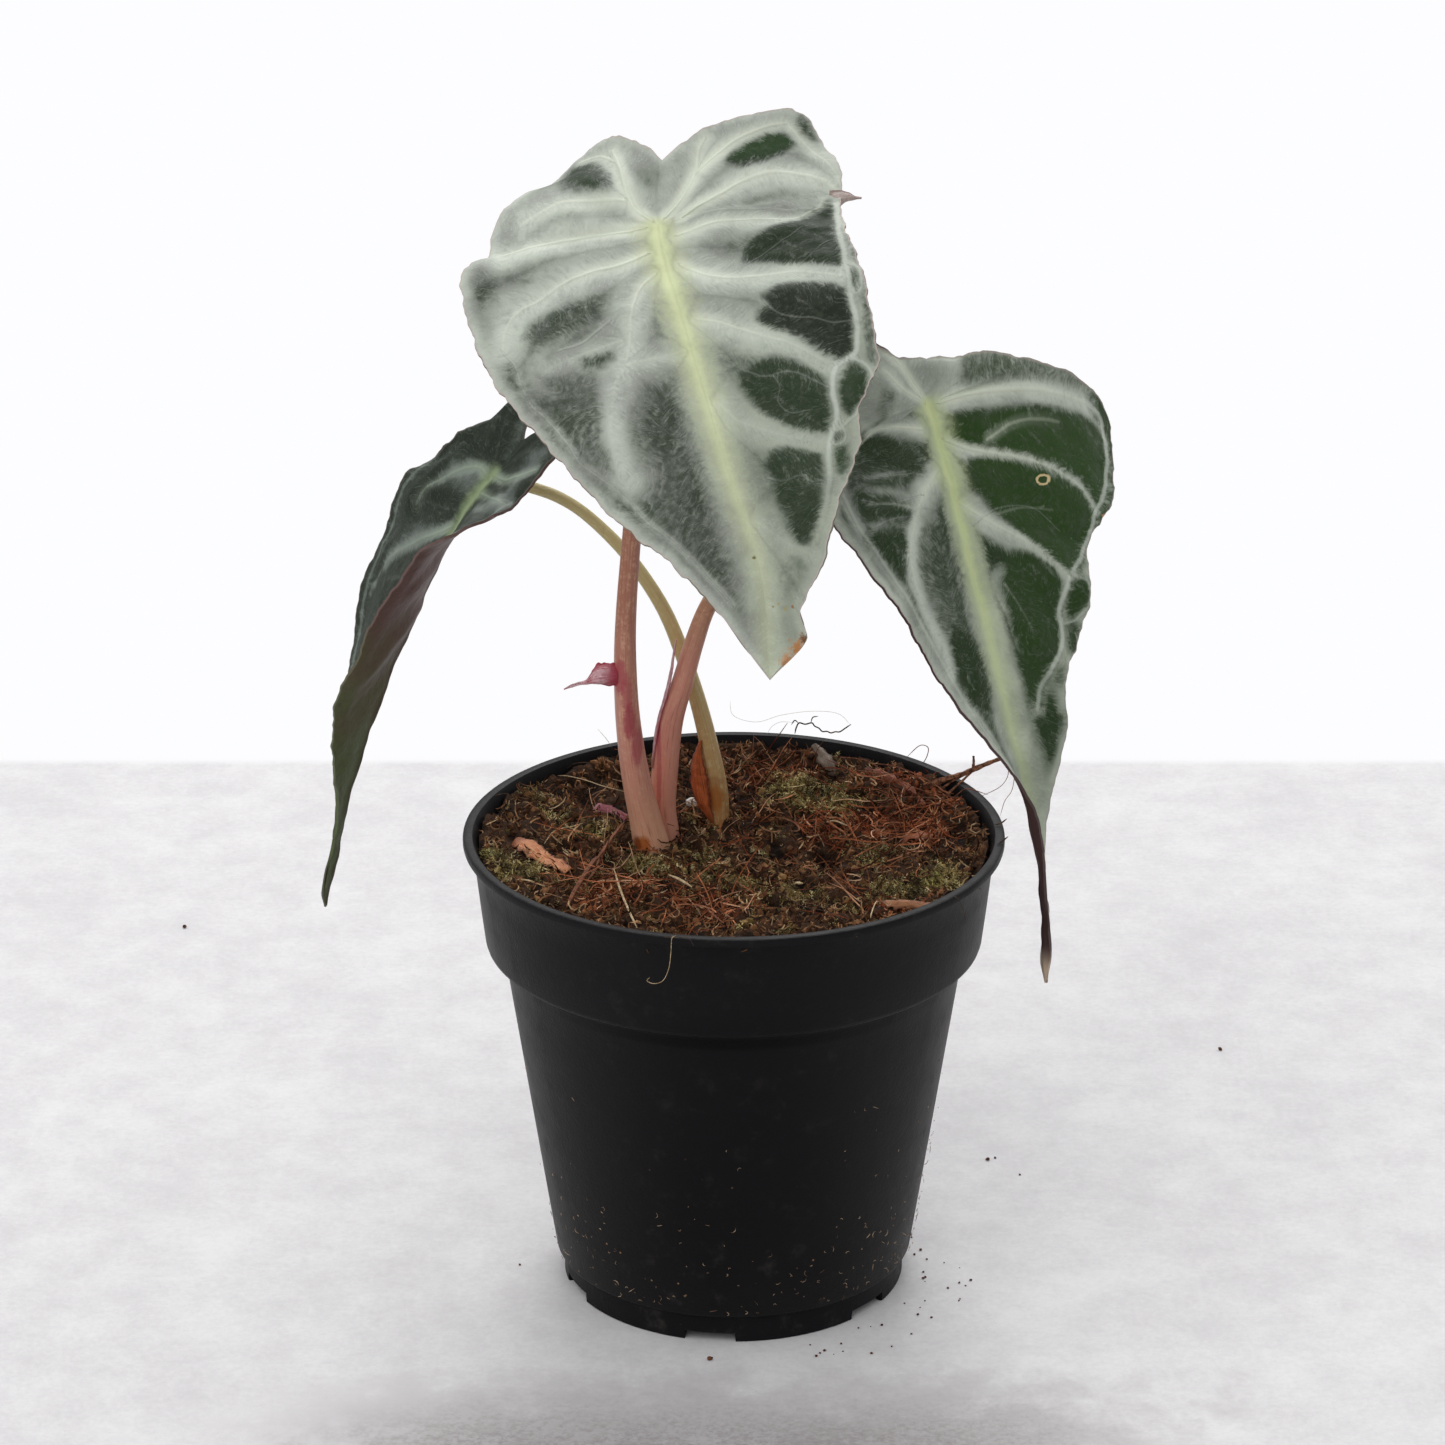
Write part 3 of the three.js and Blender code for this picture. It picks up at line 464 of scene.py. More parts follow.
STALK_ROUTES = {
    "front": [
        (-17.6, 4.2, 90, 3.9), (-18.2, 4.2, 101, 4.05), (-19.5, 3.5, 108, 3.6),
        (-21.6, 2.5, 118.5, 3.15), (-23.3, 1.5, 133, 2.7), (-23.8, 0.5, 147.5, 2.45),
        (-23.5, 0.5, 159, 2.25), (-22.1, 1, 177.5, 2.05), (-19.8, 1.8, 205, 1.9),
        (-17.6, 2.6, 228, 1.8), (-16.6, 0.3, 239, 1.8), (-16.5, -6.6, 246.9, 1.9),
    ],
    "right": [
        (-14.4, 11.9, 90, 2.9), (-15, 11.6, 101, 2.9), (-15.8, 11.4, 107.5, 2.95),
        (-15.3, 11, 117, 2.95), (-13.9, 11, 129, 2.75), (-11.2, 10.5, 138.5, 2.4),
        (-8.6, 10.5, 148, 2.15), (-5.5, 10.5, 156.5, 1.9), (8, 11.6, 177, 1.7),
        (28.7, 13.6, 195, 1.6), (35.2, 13.4, 200.4, 1.6), (40.9, 6.5, 203.8, 1.7),
    ],
    "left": [
        (-4.6, 15.4, 90, 2.4), (-3.5, 16, 101, 2.45), (-3.7, 16.5, 110, 2.4),
        (-5.7, 17, 121.5, 2.05), (-8, 17.5, 131, 1.85), (-11.9, 18, 143.5, 1.7),
        (-15.5, 18.2, 152.5, 1.6), (-20.9, 18.6, 161.5, 1.5), (-25.6, 19, 167.5, 1.4),
        (-33.7, 19.6, 175.2, 1.3), (-39.4, 20, 178.6, 1.3), (-45.2, 19.5, 180.9, 1.3),
        (-51.4, 15.9, 184.4, 1.4),
    ],
}


def cubic(t, start, leave, end, arrive):
    """A curve from start to end that leaves and arrives with the given slopes."""
    return ((2 * t**3 - 3 * t**2 + 1) * start + (t**3 - 2 * t**2 + t) * leave
            + (3 * t**2 - 2 * t**3) * end + (t**3 - t**2) * arrive)


def smooth_route(route, steps):
    """Rows of x, y, z and radius along a smooth line through the rows of a route."""
    rows = np.array(route, float)
    rows = np.vstack([2 * rows[0] - rows[1], rows, 2 * rows[-1] - rows[-2]])
    line = []
    for a, b, c, d in zip(rows, rows[1:], rows[2:], rows[3:]):
        before, here, after = (np.linalg.norm((q - p)[:3]) ** 0.5 for p, q in ((a, b), (b, c), (c, d)))
        leave = ((b - a) / before - (c - a) / (before + here) + (c - b) / here) * here
        reach = ((c - b) / here - (d - b) / (here + after) + (d - c) / after) * here
        line += [cubic(t, b, leave, c, reach) for t in np.arange(steps) / steps]
    return np.array([*line, rows[-2]])


def tube(line, sides, skin=None):
    """Points and faces of a closed round tube along rows of x, y, z and radius, in millimetres.

    skin gives a factor on the radius for a row number and the angles round the tube."""
    centres, radii = line[:, :3], line[:, 3]
    ways = np.gradient(centres, axis=0)
    ways /= np.linalg.norm(ways, axis=1)[:, None]
    across = np.cross(ways[0], (0.3, 1, 0.1))
    around = 2 * np.pi * np.arange(sides) / sides
    points, skins = [], []
    length = 0.0
    for row, (centre, way, radius) in enumerate(zip(centres, ways, radii)):
        across = across - way * across.dot(way)
        across /= np.linalg.norm(across)
        other = np.cross(way, across)
        wide = radius * (skin(row, around) if skin else np.ones(sides))
        points.append(centre + wide[:, None] * (
            np.cos(around)[:, None] * across + np.sin(around)[:, None] * other))
        if row:
            length += np.linalg.norm(centre - centres[row - 1])
        skins.append(np.column_stack([np.cos(around), np.sin(around), np.full(sides, length)]))
    points = np.vstack([*points, centres[:1], centres[-1:]])
    skins = np.vstack([*skins, (0, 0, 0), (0, 0, length)])
    faces = []
    for row in range(len(line) - 1):
        for k in range(sides):
            a, b = row * sides + k, row * sides + (k + 1) % sides
            faces.append((a, b, b + sides, a + sides))
    foot, top = len(points) - 2, len(points) - 1
    last = (len(line) - 1) * sides
    faces += [(foot, (k + 1) % sides, k) for k in range(sides)]
    faces += [(top, last + k, last + (k + 1) % sides) for k in range(sides)]
    return points, faces, skins


def soil_base(x, y):
    """Height of the soil's heaps and hollows at a place."""
    heaps = sum(tall * np.exp(-((x - cx) ** 2 + (y - cy) ** 2) / wide**2)
                for cx, cy, tall, wide in SOIL_HEAPS)
    bank = SOIL_BANK * (np.hypot(x, y) / SOIL_RADIUS) ** 4
    lumps = (0.7 * np.sin(0.42 * x + 1) * np.sin(0.37 * y + 2)
             + 0.45 * np.sin(0.8 * x - 0.55 * y) * np.sin(0.7 * y + 0.3 * x))
    return SOIL_LEVEL + bank + heaps + lumps


def clamped(value):
    return min(1, max(0, value))


def clump(x, y):
    """How far a place lies on a clump of peat rather than between clumps, from 0 to 1."""
    spot = Vector((x, y, 0))
    return clamped(0.55 + 0.95 * noise.noise(spot / 6.0 + Vector((3, 8, 1)))
                   + 0.55 * noise.noise(spot / 2.6 + Vector((7, 1, 3))))


def soil_top(x, y):
    """Height of the crumbly soil at a place. It is calmer where something lies on it."""
    calm = max(math.exp(-((x - cx) ** 2 + (y - cy) ** 2) / wide**2) for cx, cy, wide in SOIL_CALM)
    fine = noise.noise(Vector((x, y, 0)) / 0.9) * 0.4
    return float(soil_base(x, y)) + (2.9 * clump(x, y) + fine - 1.2) * (1 - calm) - 0.3 * calm


def collar_inside(height):
    """The radius of the collar's inner face at a height."""
    return COLLAR_RADIUS + COLLAR_WIDENS * (height - COLLAR_FOOT) / COLLAR_TALL - COLLAR_WALL


def soil_blank():
    """The filling as one closed body, before the stalks' holes are cut."""
    turns = 2 * np.pi * np.arange(SOIL_ROUND) / SOIL_ROUND
    points = [(0, 0, SOIL_SIDE[0][1])]
    for radius, height in SOIL_SIDE[1:]:
        points += [(radius * math.cos(turn), radius * math.sin(turn), height) for turn in turns]
    for ring in range(SOIL_RINGS, 0, -1):
        for turn in turns:
            way = np.array([math.cos(turn), math.sin(turn)])
            edge = collar_inside(float(soil_base(*(way * SOIL_EDGE)))) - SOIL_GAP
            x, y = way * edge * ring / SOIL_RINGS
            points.append((x, y, soil_top(x, y)))
    points.append((0, 0, soil_top(0, 0)))
    return mesh_of("soil", points, turned_faces(SOIL_ROUND, len(SOIL_SIDE) - 1 + SOIL_RINGS))


def soil_material():
    """Dark peat with paler crumbs, painted lighter on the crests of the clumps and darker between them as
    shade.
    """
    material, paint = new_material("peat and coir")
    place = paint.place()
    crest = paint.field("crest")
    crumbs = paint.noise(place, 0.0012, 4, 0.7, 4)
    lumps = crest * 0.7 + crumbs * 0.6
    # Painted light and shade: lighter on the crests of the clumps, darker between them.
    colour = lumps.rise(0.3, 0.9).blend(tint("150d09"), tint("3a281b"))
    colour = (crumbs.rise(0.5, 0.75) * crest).blend(colour, tint("6b4a33"))
    finish(paint, colour, 0.9, crumbs, 0.0008, 0.15)
    return material


hollows = [mesh_of("hole", *tube(np.array(route) + (0, 0, 0, SOIL_GAP), 12)[:2])
           for route in STALK_ROUTES.values()]
soil_mesh = cut_from(soil_blank(), hollows)
crests = [clump(corner.co.x / MM, corner.co.y / MM) for corner in soil_mesh.vertices]
soil_mesh.attributes.new("crest", "FLOAT", "POINT").data.foreach_set("value", crests)
add_piece("soil_filling", soil_mesh, soil_material(), "soil", "soil", sharp=60)

# Moss, crumbs and fibres on the soil: curled peat fibres all over, olive moss on the wetter lumps,
# peat crumbs, and red-brown coir strands that lie in tangles at the right rear and near the front.
MOSS_PLACES = [
    (16, 30, 9, 1), (22, 23.5, 6, 0.9), (43, -21, 7, 0.8), (36, -27, 7, 0.7), (-47, -15, 6, 0.9),
    (-32, 8, 6, 0.8), (-20, -12, 6, 0.8), (-3, -18, 8, 0.6), (-54, -9, 4, 0.9), (6, 0, 5, 0.5),
    (30, -2, 7, 0.4), (-30, -22, 7, 0.5), (14, -30, 8, 0.5), (-8, 0, 6, 0.5), (-42, 22, 6, 0.4),
]
COIR_PLACES = [
    (38, 37, 9, 1), (48, 22, 8, 1), (33, 10, 9, 0.8), (42, 3, 6, 0.8), (-29, -30, 8, 0.7),
    (-25, -20, 7, 0.5), (36, -37, 7, 0.9), (8, 42, 9, 0.7), (-6, -34, 8, 0.6), (20, 10, 8, 0.4),
]
# Hollows in shade: fewer fibres and crumbs lie there, and those that do are painted darker as shade.
SHADED_HOLLOWS = [
    (-31, 36, 9, 0.8), (-37, 12, 8, 0.7), (-20, 24, 8, 0.8), (-10, 36, 7, 0.7), (20, -10, 7, 0.9),
    (10, 10, 6, 0.7), (4, 30, 5, 0.5), (-48, 2, 8, 0.5), (2, -31, 6, 0.5), (-42, -22, 6, 0.5),
    (-30, 24, 8, 0.6), (28, 6, 5, 0.5), (0, 44, 6, 0.5),
]
GREEN_PLACES = [
    (-54, -9, 4, 1), (-47, -15, 3, 0.7), (43, -21, 5, 0.9), (-32, 8, 3, 0.8), (22, 24, 4, 0.6),
    (14, 33, 3, 0.6), (-30, 3, 3, 0.6), (36, -26, 3, 0.5),
]
GROUND_STEP = 0.9
COIR_EDGE = 47
FULL_TURN = 6.283


def spots(x, y, places, seed, even):
    """How much of something grows or lies at a place, from 0 to 1."""
    near = sum(much * math.exp(-((x - cx) ** 2 + (y - cy) ** 2) / wide**2)
               for cx, cy, wide, much in places)
    patchy, fine = [noise.noise(Vector((x / size, y / size, seed))) for size in (7, 2.5)]
    return clamped(near + even + (patchy + 0.5 * fine) * 0.5)


def soil_ground(reach):
    """The soil's top as an open sheet, and what grows and lies where on it."""
    count = int(2 * reach / GROUND_STEP) + 1
    number, points, fields = {}, [], []
    for i in range(count):
        for j in range(count):
            x, y = -reach + i * GROUND_STEP, -reach + j * GROUND_STEP
            if math.hypot(x, y) <= reach:
                number[i, j] = len(points)
                points.append((x, y, soil_top(x, y)))
                # crest: how far a place lies on a clump, higher near the pot wall and lower in the shaded
                # hollows. It sets where fibres and crumbs lie and their painted light and shade: lighter on
                # crests, darker between.
                crest = max(clump(x, y), min(0.8, (math.hypot(x, y) - 50) / 5))
                crest *= 1 - 0.75 * spots(x, y, SHADED_HOLLOWS, 14, -0.15)
                fields.append((
                    (0.25 + crest) * spots(x, y, MOSS_PLACES, 1, -0.1), spots(x, y, COIR_PLACES, 5, 0.02),
                    0.1 + 0.9 * crest, spots(x, y, GREEN_PLACES, 8, -0.25)))
    squares = [((i, j), (i + 1, j), (i + 1, j + 1), (i, j + 1)) for i in range(count) for j in range(count)]
    faces = [[number[key] for key in keys] for keys in squares if all(key in number for key in keys)]
    moss, coir, crest, green = zip(*fields)
    return mesh_of("soil top", points, faces, moss=moss, coir=coir, crest=crest, green=green)


def scatter_tree():
    """Geometry nodes that lay shapes on a sheet, more of them where a named attribute is high."""
    tree = bpy.data.node_groups.new("scatter", "GeometryNodeTree")
    for label, kind in (
        ("Ground", "Geometry"), ("Shapes", "Collection"), ("Share", "String"), ("Density", "Float"),
        ("Smallest", "Float"), ("Largest", "Float"), ("Tilt", "Float"), ("Seed", "Int"),
        ("Material", "Material"),
    ):
        tree.interface.new_socket(label, in_out="INPUT", socket_type=f"NodeSocket{kind}")
    tree.interface.new_socket("Mesh", in_out="OUTPUT", socket_type="NodeSocketGeometry")
    nodes = Wire(tree)
    given = nodes.add("NodeGroupInput")
    share = nodes.add("GeometryNodeInputNamedAttribute", {"data_type": "FLOAT"}, {
        "Name": given.other("Share")})
    points = nodes.add("GeometryNodeDistributePointsOnFaces", {"distribute_method": "RANDOM"}, {
        "Mesh": given.other("Ground"), "Density": given.other("Density") * share,
        "Seed": given.other("Seed")})
    hue = nodes.add("FunctionNodeRandomValue", {"data_type": "FLOAT"}, {2: 0.0, 3: 1.0, "Seed": 3}, 1)
    marked = nodes.add("GeometryNodeStoreNamedAttribute", {"data_type": "FLOAT", "domain": "POINT"}, {
        "Geometry": points, "Name": "hue", "Value": hue})
    tilt = given.other("Tilt")
    low = nodes.add("ShaderNodeCombineXYZ", {}, {0: tilt * -1.0, 1: tilt * -1.0, 2: 0.0})
    high = nodes.add("ShaderNodeCombineXYZ", {}, {0: tilt, 1: tilt, 2: FULL_TURN})
    spin = nodes.add("FunctionNodeRandomValue", {"data_type": "FLOAT_VECTOR"}, {
        0: low, 1: high, "Seed": 5})
    turn = nodes.add("FunctionNodeEulerToRotation", {}, {"Euler": spin})
    turned = nodes.add("FunctionNodeRotateRotation", {"rotation_space": "LOCAL"}, {
        "Rotation": points.other("Rotation"), "Rotate By": turn})
    size = nodes.add("FunctionNodeRandomValue", {"data_type": "FLOAT"}, {
        2: given.other("Smallest"), 3: given.other("Largest"), "Seed": 7}, 1)
    shapes = nodes.add("GeometryNodeCollectionInfo", {}, {
        "Collection": given.other("Shapes"), "Separate Children": True, "Reset Children": True})
    placed = nodes.add("GeometryNodeInstanceOnPoints", {}, {
        "Points": marked, "Instance": shapes, "Pick Instance": True, "Rotation": turned, "Scale": size})
    real = nodes.add("GeometryNodeRealizeInstances", {}, {"Geometry": placed})
    painted = nodes.add("GeometryNodeSetMaterial", {}, {
        "Geometry": real, "Material": given.other("Material")})
    nodes.add("NodeGroupOutput", {}, {"Mesh": painted})
    return tree


def scattered(name, ground, shapes, **inputs):
    """A plain mesh of the shapes scattered over the ground."""
    group = bpy.data.collections.new(name)
    for k, shape in enumerate(shapes):
        group.objects.link(bpy.data.objects.new(f"{name} {k}", shape))
    carrier = linked(name, ground.copy())
    scatter = carrier.modifiers.new("scatter", "NODES")
    scatter.node_group = SCATTER
    for item in SCATTER.interface.items_tree:
        if item.in_out == "INPUT" and item.name != "Ground":
            scatter[item.identifier] = group if item.name == "Shapes" else inputs[item.name]
    graph = bpy.context.evaluated_depsgraph_get()
    result = bpy.data.meshes.new_from_object(carrier.evaluated_get(graph))
    bpy.data.objects.remove(carrier)
    for shape in list(group.objects):
        bpy.data.objects.remove(shape)
    bpy.data.collections.remove(group)
    return result


def moss_sprig(seed):
    """A shoot of moss: small pointed leaves, each of four triangles, round a bent axis."""
    rng = random.Random(seed)
    points, faces = [], []
    lean = (rng.uniform(-0.5, 0.5), rng.uniform(-0.5, 0.5))
    for k in range(9):
        turn, rise = 2.4 * k + rng.random(), 0.2 + 0.2 * k
        way, side = (math.cos(turn), math.sin(turn)), (-math.sin(turn), math.cos(turn))
        out = rng.uniform(0.6, 1.1) * (1.1 - 0.05 * k)
        base = (lean[0] * rise, lean[1] * rise, rise)
        first = len(points)
        for reach, wide, up in ((0.25, 0.15, 0.1), (0.25, -0.15, 0.1), (0.1, 0, -0.1), (1, 0, 0.35)):
            points.append([base[n] + way[n] * out * reach + side[n] * wide for n in (0, 1)]
                          + [base[2] + up * out])
        faces += [(first, first + 3, first + 1), (first + 1, first + 3, first + 2),
                  (first + 2, first + 3, first), (first, first + 1, first + 2)]
    return mesh_of("moss sprig", points, faces)


def ball_mesh(name, fineness, shaped):
    """A closed ball whose points, on a radius of 1, are moved by a function."""
    form = bmesh.new()
    bmesh.ops.create_icosphere(form, subdivisions=fineness, radius=1)
    for corner in form.verts:
        corner.co = shaped(corner.co.copy())
    mesh = bpy.data.meshes.new(name)
    form.to_mesh(mesh)
    form.free()
    return mesh


def peat_crumb(seed):
    """A small uneven crumb, a little flat."""
    rng = random.Random(seed)

    def shaped(way):
        way *= rng.uniform(0.65, 1.25) * MM
        way.z *= 0.7
        return way

    return ball_mesh("peat crumb", 1, shaped)


def fibre(seed, length, radius, rows=8, wander=0.35):
    """A curved strand that lies about flat, thinner towards its ends."""
    rng = random.Random(seed)
    x, y, z, way, up = -length / 2, 0.0, 0.4, rng.uniform(-0.4, 0.4), rng.uniform(-0.1, 0.25)
    bend = rng.uniform(-wander, wander)
    line = []
    for k in range(rows):
        line.append((x, y, z, radius * (1 - 0.6 * abs(2 * k / (rows - 1) - 1) ** 3)))
        x += math.cos(way) * length / rows
        y += math.sin(way) * length / rows
        z += up * length / rows
        way += bend + rng.uniform(-0.25, 0.25)
        up = 0.6 * up + rng.uniform(-0.15, 0.12)
    points, faces, _ = tube(np.array(line), 3)
    return mesh_of("fibre", points, faces)


def fibre_material(name, brown, olive, red):
    """A material whose colour differs from fibre to fibre, olive in the moss and red in the coir, and
    painted darker as shade between the clumps and in blotches.
    """
    material, paint = new_material(name)
    hue, moss, coir, green, crest = [
        paint.field(key) for key in ("hue", "moss", "coir", "green", "crest")]
    place = paint.place()
    grain = paint.noise(place, 0.0008, 3, 0.6)
    pick = hue + (grain - 0.5) * 0.4
    colour = (moss.rise(0.1, 0.5) * 0.75).blend(pick.ramp(brown), pick.ramp(olive))
    colour = (coir.rise(0.2, 0.7) * 0.8).blend(colour, pick.ramp(red))
    fresh = green.rise(0.15, 0.8) * hue.rise(0.6, 0.85) * moss.rise(0.05, 0.3)
    colour = (fresh * 0.8).blend(colour, tint("93a04e"))
    lumps = paint.noise(place, 0.007, 3, 0.6, 3)
    # Painted shade: darker away from the crests of the clumps and in blotches.
    lit = (crest.rise(0.1, 0.7) * 0.65 + 0.35) * (lumps.rise(0.36, 0.6) * 0.55 + 0.45)
    colour = (1 - lit).blend(colour, tint("120b07"))
    finish(paint, colour, 0.85, grain, 0.0002, 0.1)
    return material


SCATTER = scatter_tree()
ground = soil_ground(SOIL_EDGE)
inner_ground = soil_ground(COIR_EDGE)
OLIVES = [(0, "2a2214"), (0.3, "6a5a32"), (0.6, "9c8b56"), (0.85, "c4b57c"), (1, "ded1a0")]
REDS = [(0, "3f1d10"), (0.4, "944e30"), (0.75, "c97f58"), (1, "e6bd98")]
BROWNS = [(0, "20130c"), (0.35, "5c3b28"), (0.65, "8a6242"), (0.88, "ae8560"), (1, "dcc198")]
moss_paint = fibre_material("moss", OLIVES, OLIVES, BROWNS)
fibre_paint = fibre_material("peat fibres", BROWNS, OLIVES, REDS)
coir_paint = fibre_material("coir", REDS, REDS, REDS)
lump_paint = fibre_material("peat crumbs", BROWNS[:3], OLIVES[:3], REDS[:2])
for name, sheet, shapes, paint_used, share, density, small, large, tilt, seed in (
    ("peat_fibres", ground, [fibre(40 + k, 2.6 + 0.5 * k, 0.17, 5, 1.1) for k in range(7)], fibre_paint,
     "crest", 8.6e5, 0.5, 1.3, 1.2, 21),
    ("moss", ground, [moss_sprig(k) for k in range(5)], moss_paint, "moss", 3.4e6, 0.45, 1.0, 0.7, 11),
    ("peat_crumbs", ground, [peat_crumb(k) for k in range(5)], lump_paint, "crest", 3.2e5, 0.3, 1.2,
     1.5, 12),
    ("coir_strands", inner_ground, [fibre(k, 8 + 2 * k, 0.11 + 0.02 * (k % 3)) for k in range(7)],
     coir_paint, "coir", 5.4e5, 0.7, 1.2, 0.35, 13),
):
    mesh = scattered(name, sheet, shapes, Share=share, Density=density, Smallest=small, Largest=large,
                     Tilt=tilt, Seed=seed, Material=paint_used)
    add_piece(name, mesh, None, "soil")

# Spilt soil: short fibres that stick to the lower wall of the pot, mostly near its foot and at the
# front right, and a few crumbs that lie on the floor round it, each with its x and y and its size.
CRUMBS = [
    (60.6, 53.1, 0.6), (62.4, 54, 0.35), (121.1, 114.9, 0.6), (-143, 190.3, 0.7), (67.8, 45, 0.35),
    (-5.3, -46.8, 0.7), (39.6, 11.3, 0.5), (43, 6, 0.4), (41.5, 3.8, 0.35), (-48.8, -1.2, 0.35),
]
CRUMBS_MORE = 34
CRUMB_RING = 46
WALL_FOOT, WALL_TOP, WALL_STEP = 8, 74, 3
WALL_RADIUS, WALL_WIDENS, WALL_TALL = 40.5, 10.3, 63.5


def joined(name, pieces):
    """One mesh of several sets of points and faces."""
    points, faces = [], []
    for some_points, some_faces in pieces:
        first = len(points)
        points += [tuple(point) for point in some_points]
        faces += [tuple(first + corner for corner in face) for face in some_faces]
    return mesh_of(name, points, faces)


def wall_ground():
    """A band of the pot's wall from the foot up, and how many fibres stick to it."""
    points, stuck, faces = [], [], []
    heights, turns = np.arange(WALL_FOOT, WALL_TOP, WALL_STEP), np.arange(0, 360, 5)
    for height in heights:
        radius = WALL_RADIUS + WALL_WIDENS * (height - WALL_FOOT) / WALL_TALL
        for turn in turns:
            angle = math.radians(turn - 90)
            points.append((radius * math.cos(angle), radius * math.sin(angle), height))
            side = 1.0 if 20 < turn < 100 else 0.6
            patchy = max(0, 0.4 + noise.noise(Vector((turn / 14, height / 9, 4))))
            stuck.append(side * patchy * math.exp(-(height - WALL_FOOT) / 14))
    count = len(turns)
    for row in range(len(heights) - 1):
        for k in range(count):
            a, b = row * count + k, row * count + (k + 1) % count
            faces.append((a, b, b + count, a + count))
    return mesh_of("pot wall", points, faces, stuck=stuck)


def mottled_material(name, low, high, size, roughness, height=0.0003):
    """A plain material with fine mottles of two colours."""
    material, paint = new_material(name)
    mottle = paint.noise(paint.place(), size, 5, 0.7)
    colour = mottle.rise(0.35, 0.65).blend(tint(low), tint(high))
    finish(paint, colour, roughness, mottle, height, 0.2)
    return material


crumb_paint = mottled_material("dropped crumbs", "2c1c14", "6e4630", 0.001, 0.9)
dust_paint = mottled_material("soil dust", "4a2a1c", "bea587", 0.003, 0.9)
mesh = scattered(
    "pot_dust", wall_ground(),
    [fibre(60 + k, 0.6 + 0.4 * k, 0.08, 4, 1.2) for k in range(6)], Share="stuck", Density=4e5,
    Smallest=0.5, Largest=1.1, Tilt=0.5, Seed=31, Material=dust_paint)
add_piece("pot_dust", mesh, None, "pot")
rng = random.Random(9)
spread = [(rng.uniform(-1.2, 0.5), rng.uniform(0.92, 1.2)) for _ in range(CRUMBS_MORE)]
crumbs = CRUMBS + [
    (CRUMB_RING * math.cos(turn) * far, CRUMB_RING * math.sin(turn) * far, rng.uniform(0.15, 0.4))
    for turn, far in spread]
pieces = []
for x, y, size in crumbs:
    crumb = peat_crumb(rng.randrange(999))
    corners = [corner.co / MM * size + Vector((x, y, size * 0.6)) for corner in crumb.vertices]
    pieces.append((corners, [tuple(face.vertices) for face in crumb.polygons]))
floor_crumbs = linked("floor crumbs", joined("floor crumbs", pieces))
floor_crumbs.data.materials.append(crumb_paint)

# Scraps and torn sheaths: papery crimson and brown strips that the old leaf sheaths left on the
# stalks and on the soil. Each is a thin crumpled sheet with frayed edges, thinner than its solid.
# Its rows of points run along it; those of the sliver give a height, two angles round the stalk
# and how far it stands off, and those of the scraps a height over the soil.
STRIPS = {
    "sheath_scrap_front": [
        [(-25.4, -0.6, 141.8), (-25.6, -1.4, 143.4), (-25.5, -1.2, 145.2), (-25.4, -0.2, 146.9)],
        [(-27.6, -1.2, 142), (-28, -2.4, 143.4), (-27.9, -2.2, 145.4), (-27.6, -0.8, 147.2)],
        [(-29.8, -1.6, 142.3), (-30, -2.9, 143.4), (-30, -2.7, 145.2), (-29.9, -1.2, 147)],
        [(-31, -1.8, 142.6), (-31.1, -2.8, 143.3), (-31.2, -2.7, 144.2), (-31.1, -1.6, 145.6)],
        [(-32, -1.8, 142.6), (-32.1, -2.5, 142.9), (-32.2, -2.5, 143.3), (-32.1, -1.8, 143.8)],
        [(-33.8, -1.8, 142.3), (-33.8, -2.2, 142.5), (-33.9, -2.1, 142.8), (-33.8, -1.7, 143)],
        [(-35.6, -1.6, 141.8), (-35.6, -1.8, 141.9), (-35.7, -1.7, 142.1), (-35.6, -1.5, 142.2)],
        [(-37.2, -1.4, 141), (-37.2, -1.5, 141.1), (-37.2, -1.4, 141.2), (-37.1, -1.3, 141.2)],
    ],
    "sheath_sliver_right": [
        (118, 178, 206, 0.1), (122, 177, 210, 0.15), (127, 176, 213, 0.25), (131.5, 176, 214, 0.35),
        (136, 176, 214, 0.7), (140, 176, 212, 1.1), (144, 178, 206, 1.6), (148.5, 181, 194, 2.2),
    ],
    "dead_sheath_left": [
        [(-5.4, 14.8, 103.4), (-5, 14, 103.4), (-4.6, 13.6, 103.5), (-4.4, 13.4, 103.6)],
        [(-8.3, 15.6, 107.4), (-7.4, 13.8, 107.6), (-6.2, 13, 107.8), (-5.1, 13.2, 107.8)],
        [(-9.5, 16, 111.4), (-8.5, 14, 111.6), (-7, 13.2, 111.8), (-5.4, 13.4, 111.8)],
        [(-9.6, 16, 115.2), (-8.9, 14.4, 115.3), (-7.6, 13.8, 115.4), (-6.1, 13.8, 115.4)],
        [(-9, 16, 118.8), (-8.5, 15, 118.9), (-7.8, 14.6, 119), (-7, 14.4, 119)],
        [(-7.5, 15.8, 122.2), (-7.4, 15.6, 122.3), (-7.2, 15.5, 122.4), (-7, 15.4, 122.4)],
    ],
    "dried_scrap": [
        [(-49.4, -1.6, 1.1), (-48.2, -0.2, 1.5), (-46.6, 1.4, 1.1)],
        [(-47, -4.6, 0.9), (-45.1, -2.6, 1.6), (-43.4, -0.8, 0.9)],
        [(-44, -7.8, 0.9), (-42, -6.1, 1.5), (-40.2, -4.2, 1)],
        [(-41, -11, 0.9), (-39.4, -9.2, 1.4), (-37.6, -7.4, 0.9)],
        [(-37, -14, 0.9), (-36, -13, 1.1), (-34.9, -11.9, 0.9)],
    ],
    "crimson_scrap": [
        [(-32, 23.6, 0.8), (-31.3, 24.6, 1.9), (-30.6, 25.4, 2.7)],
        [(-29.8, 22, 0.8), (-29, 23, 1.6), (-28.2, 23.8, 2.3)],
        [(-27.4, 19.9, 0.8), (-26.6, 20.8, 1.6), (-25.8, 21.6, 2.1)],
        [(-24.6, 17.6, 0.8), (-24, 18.4, 1.2), (-23.5, 19, 1.6)],
    ],
}


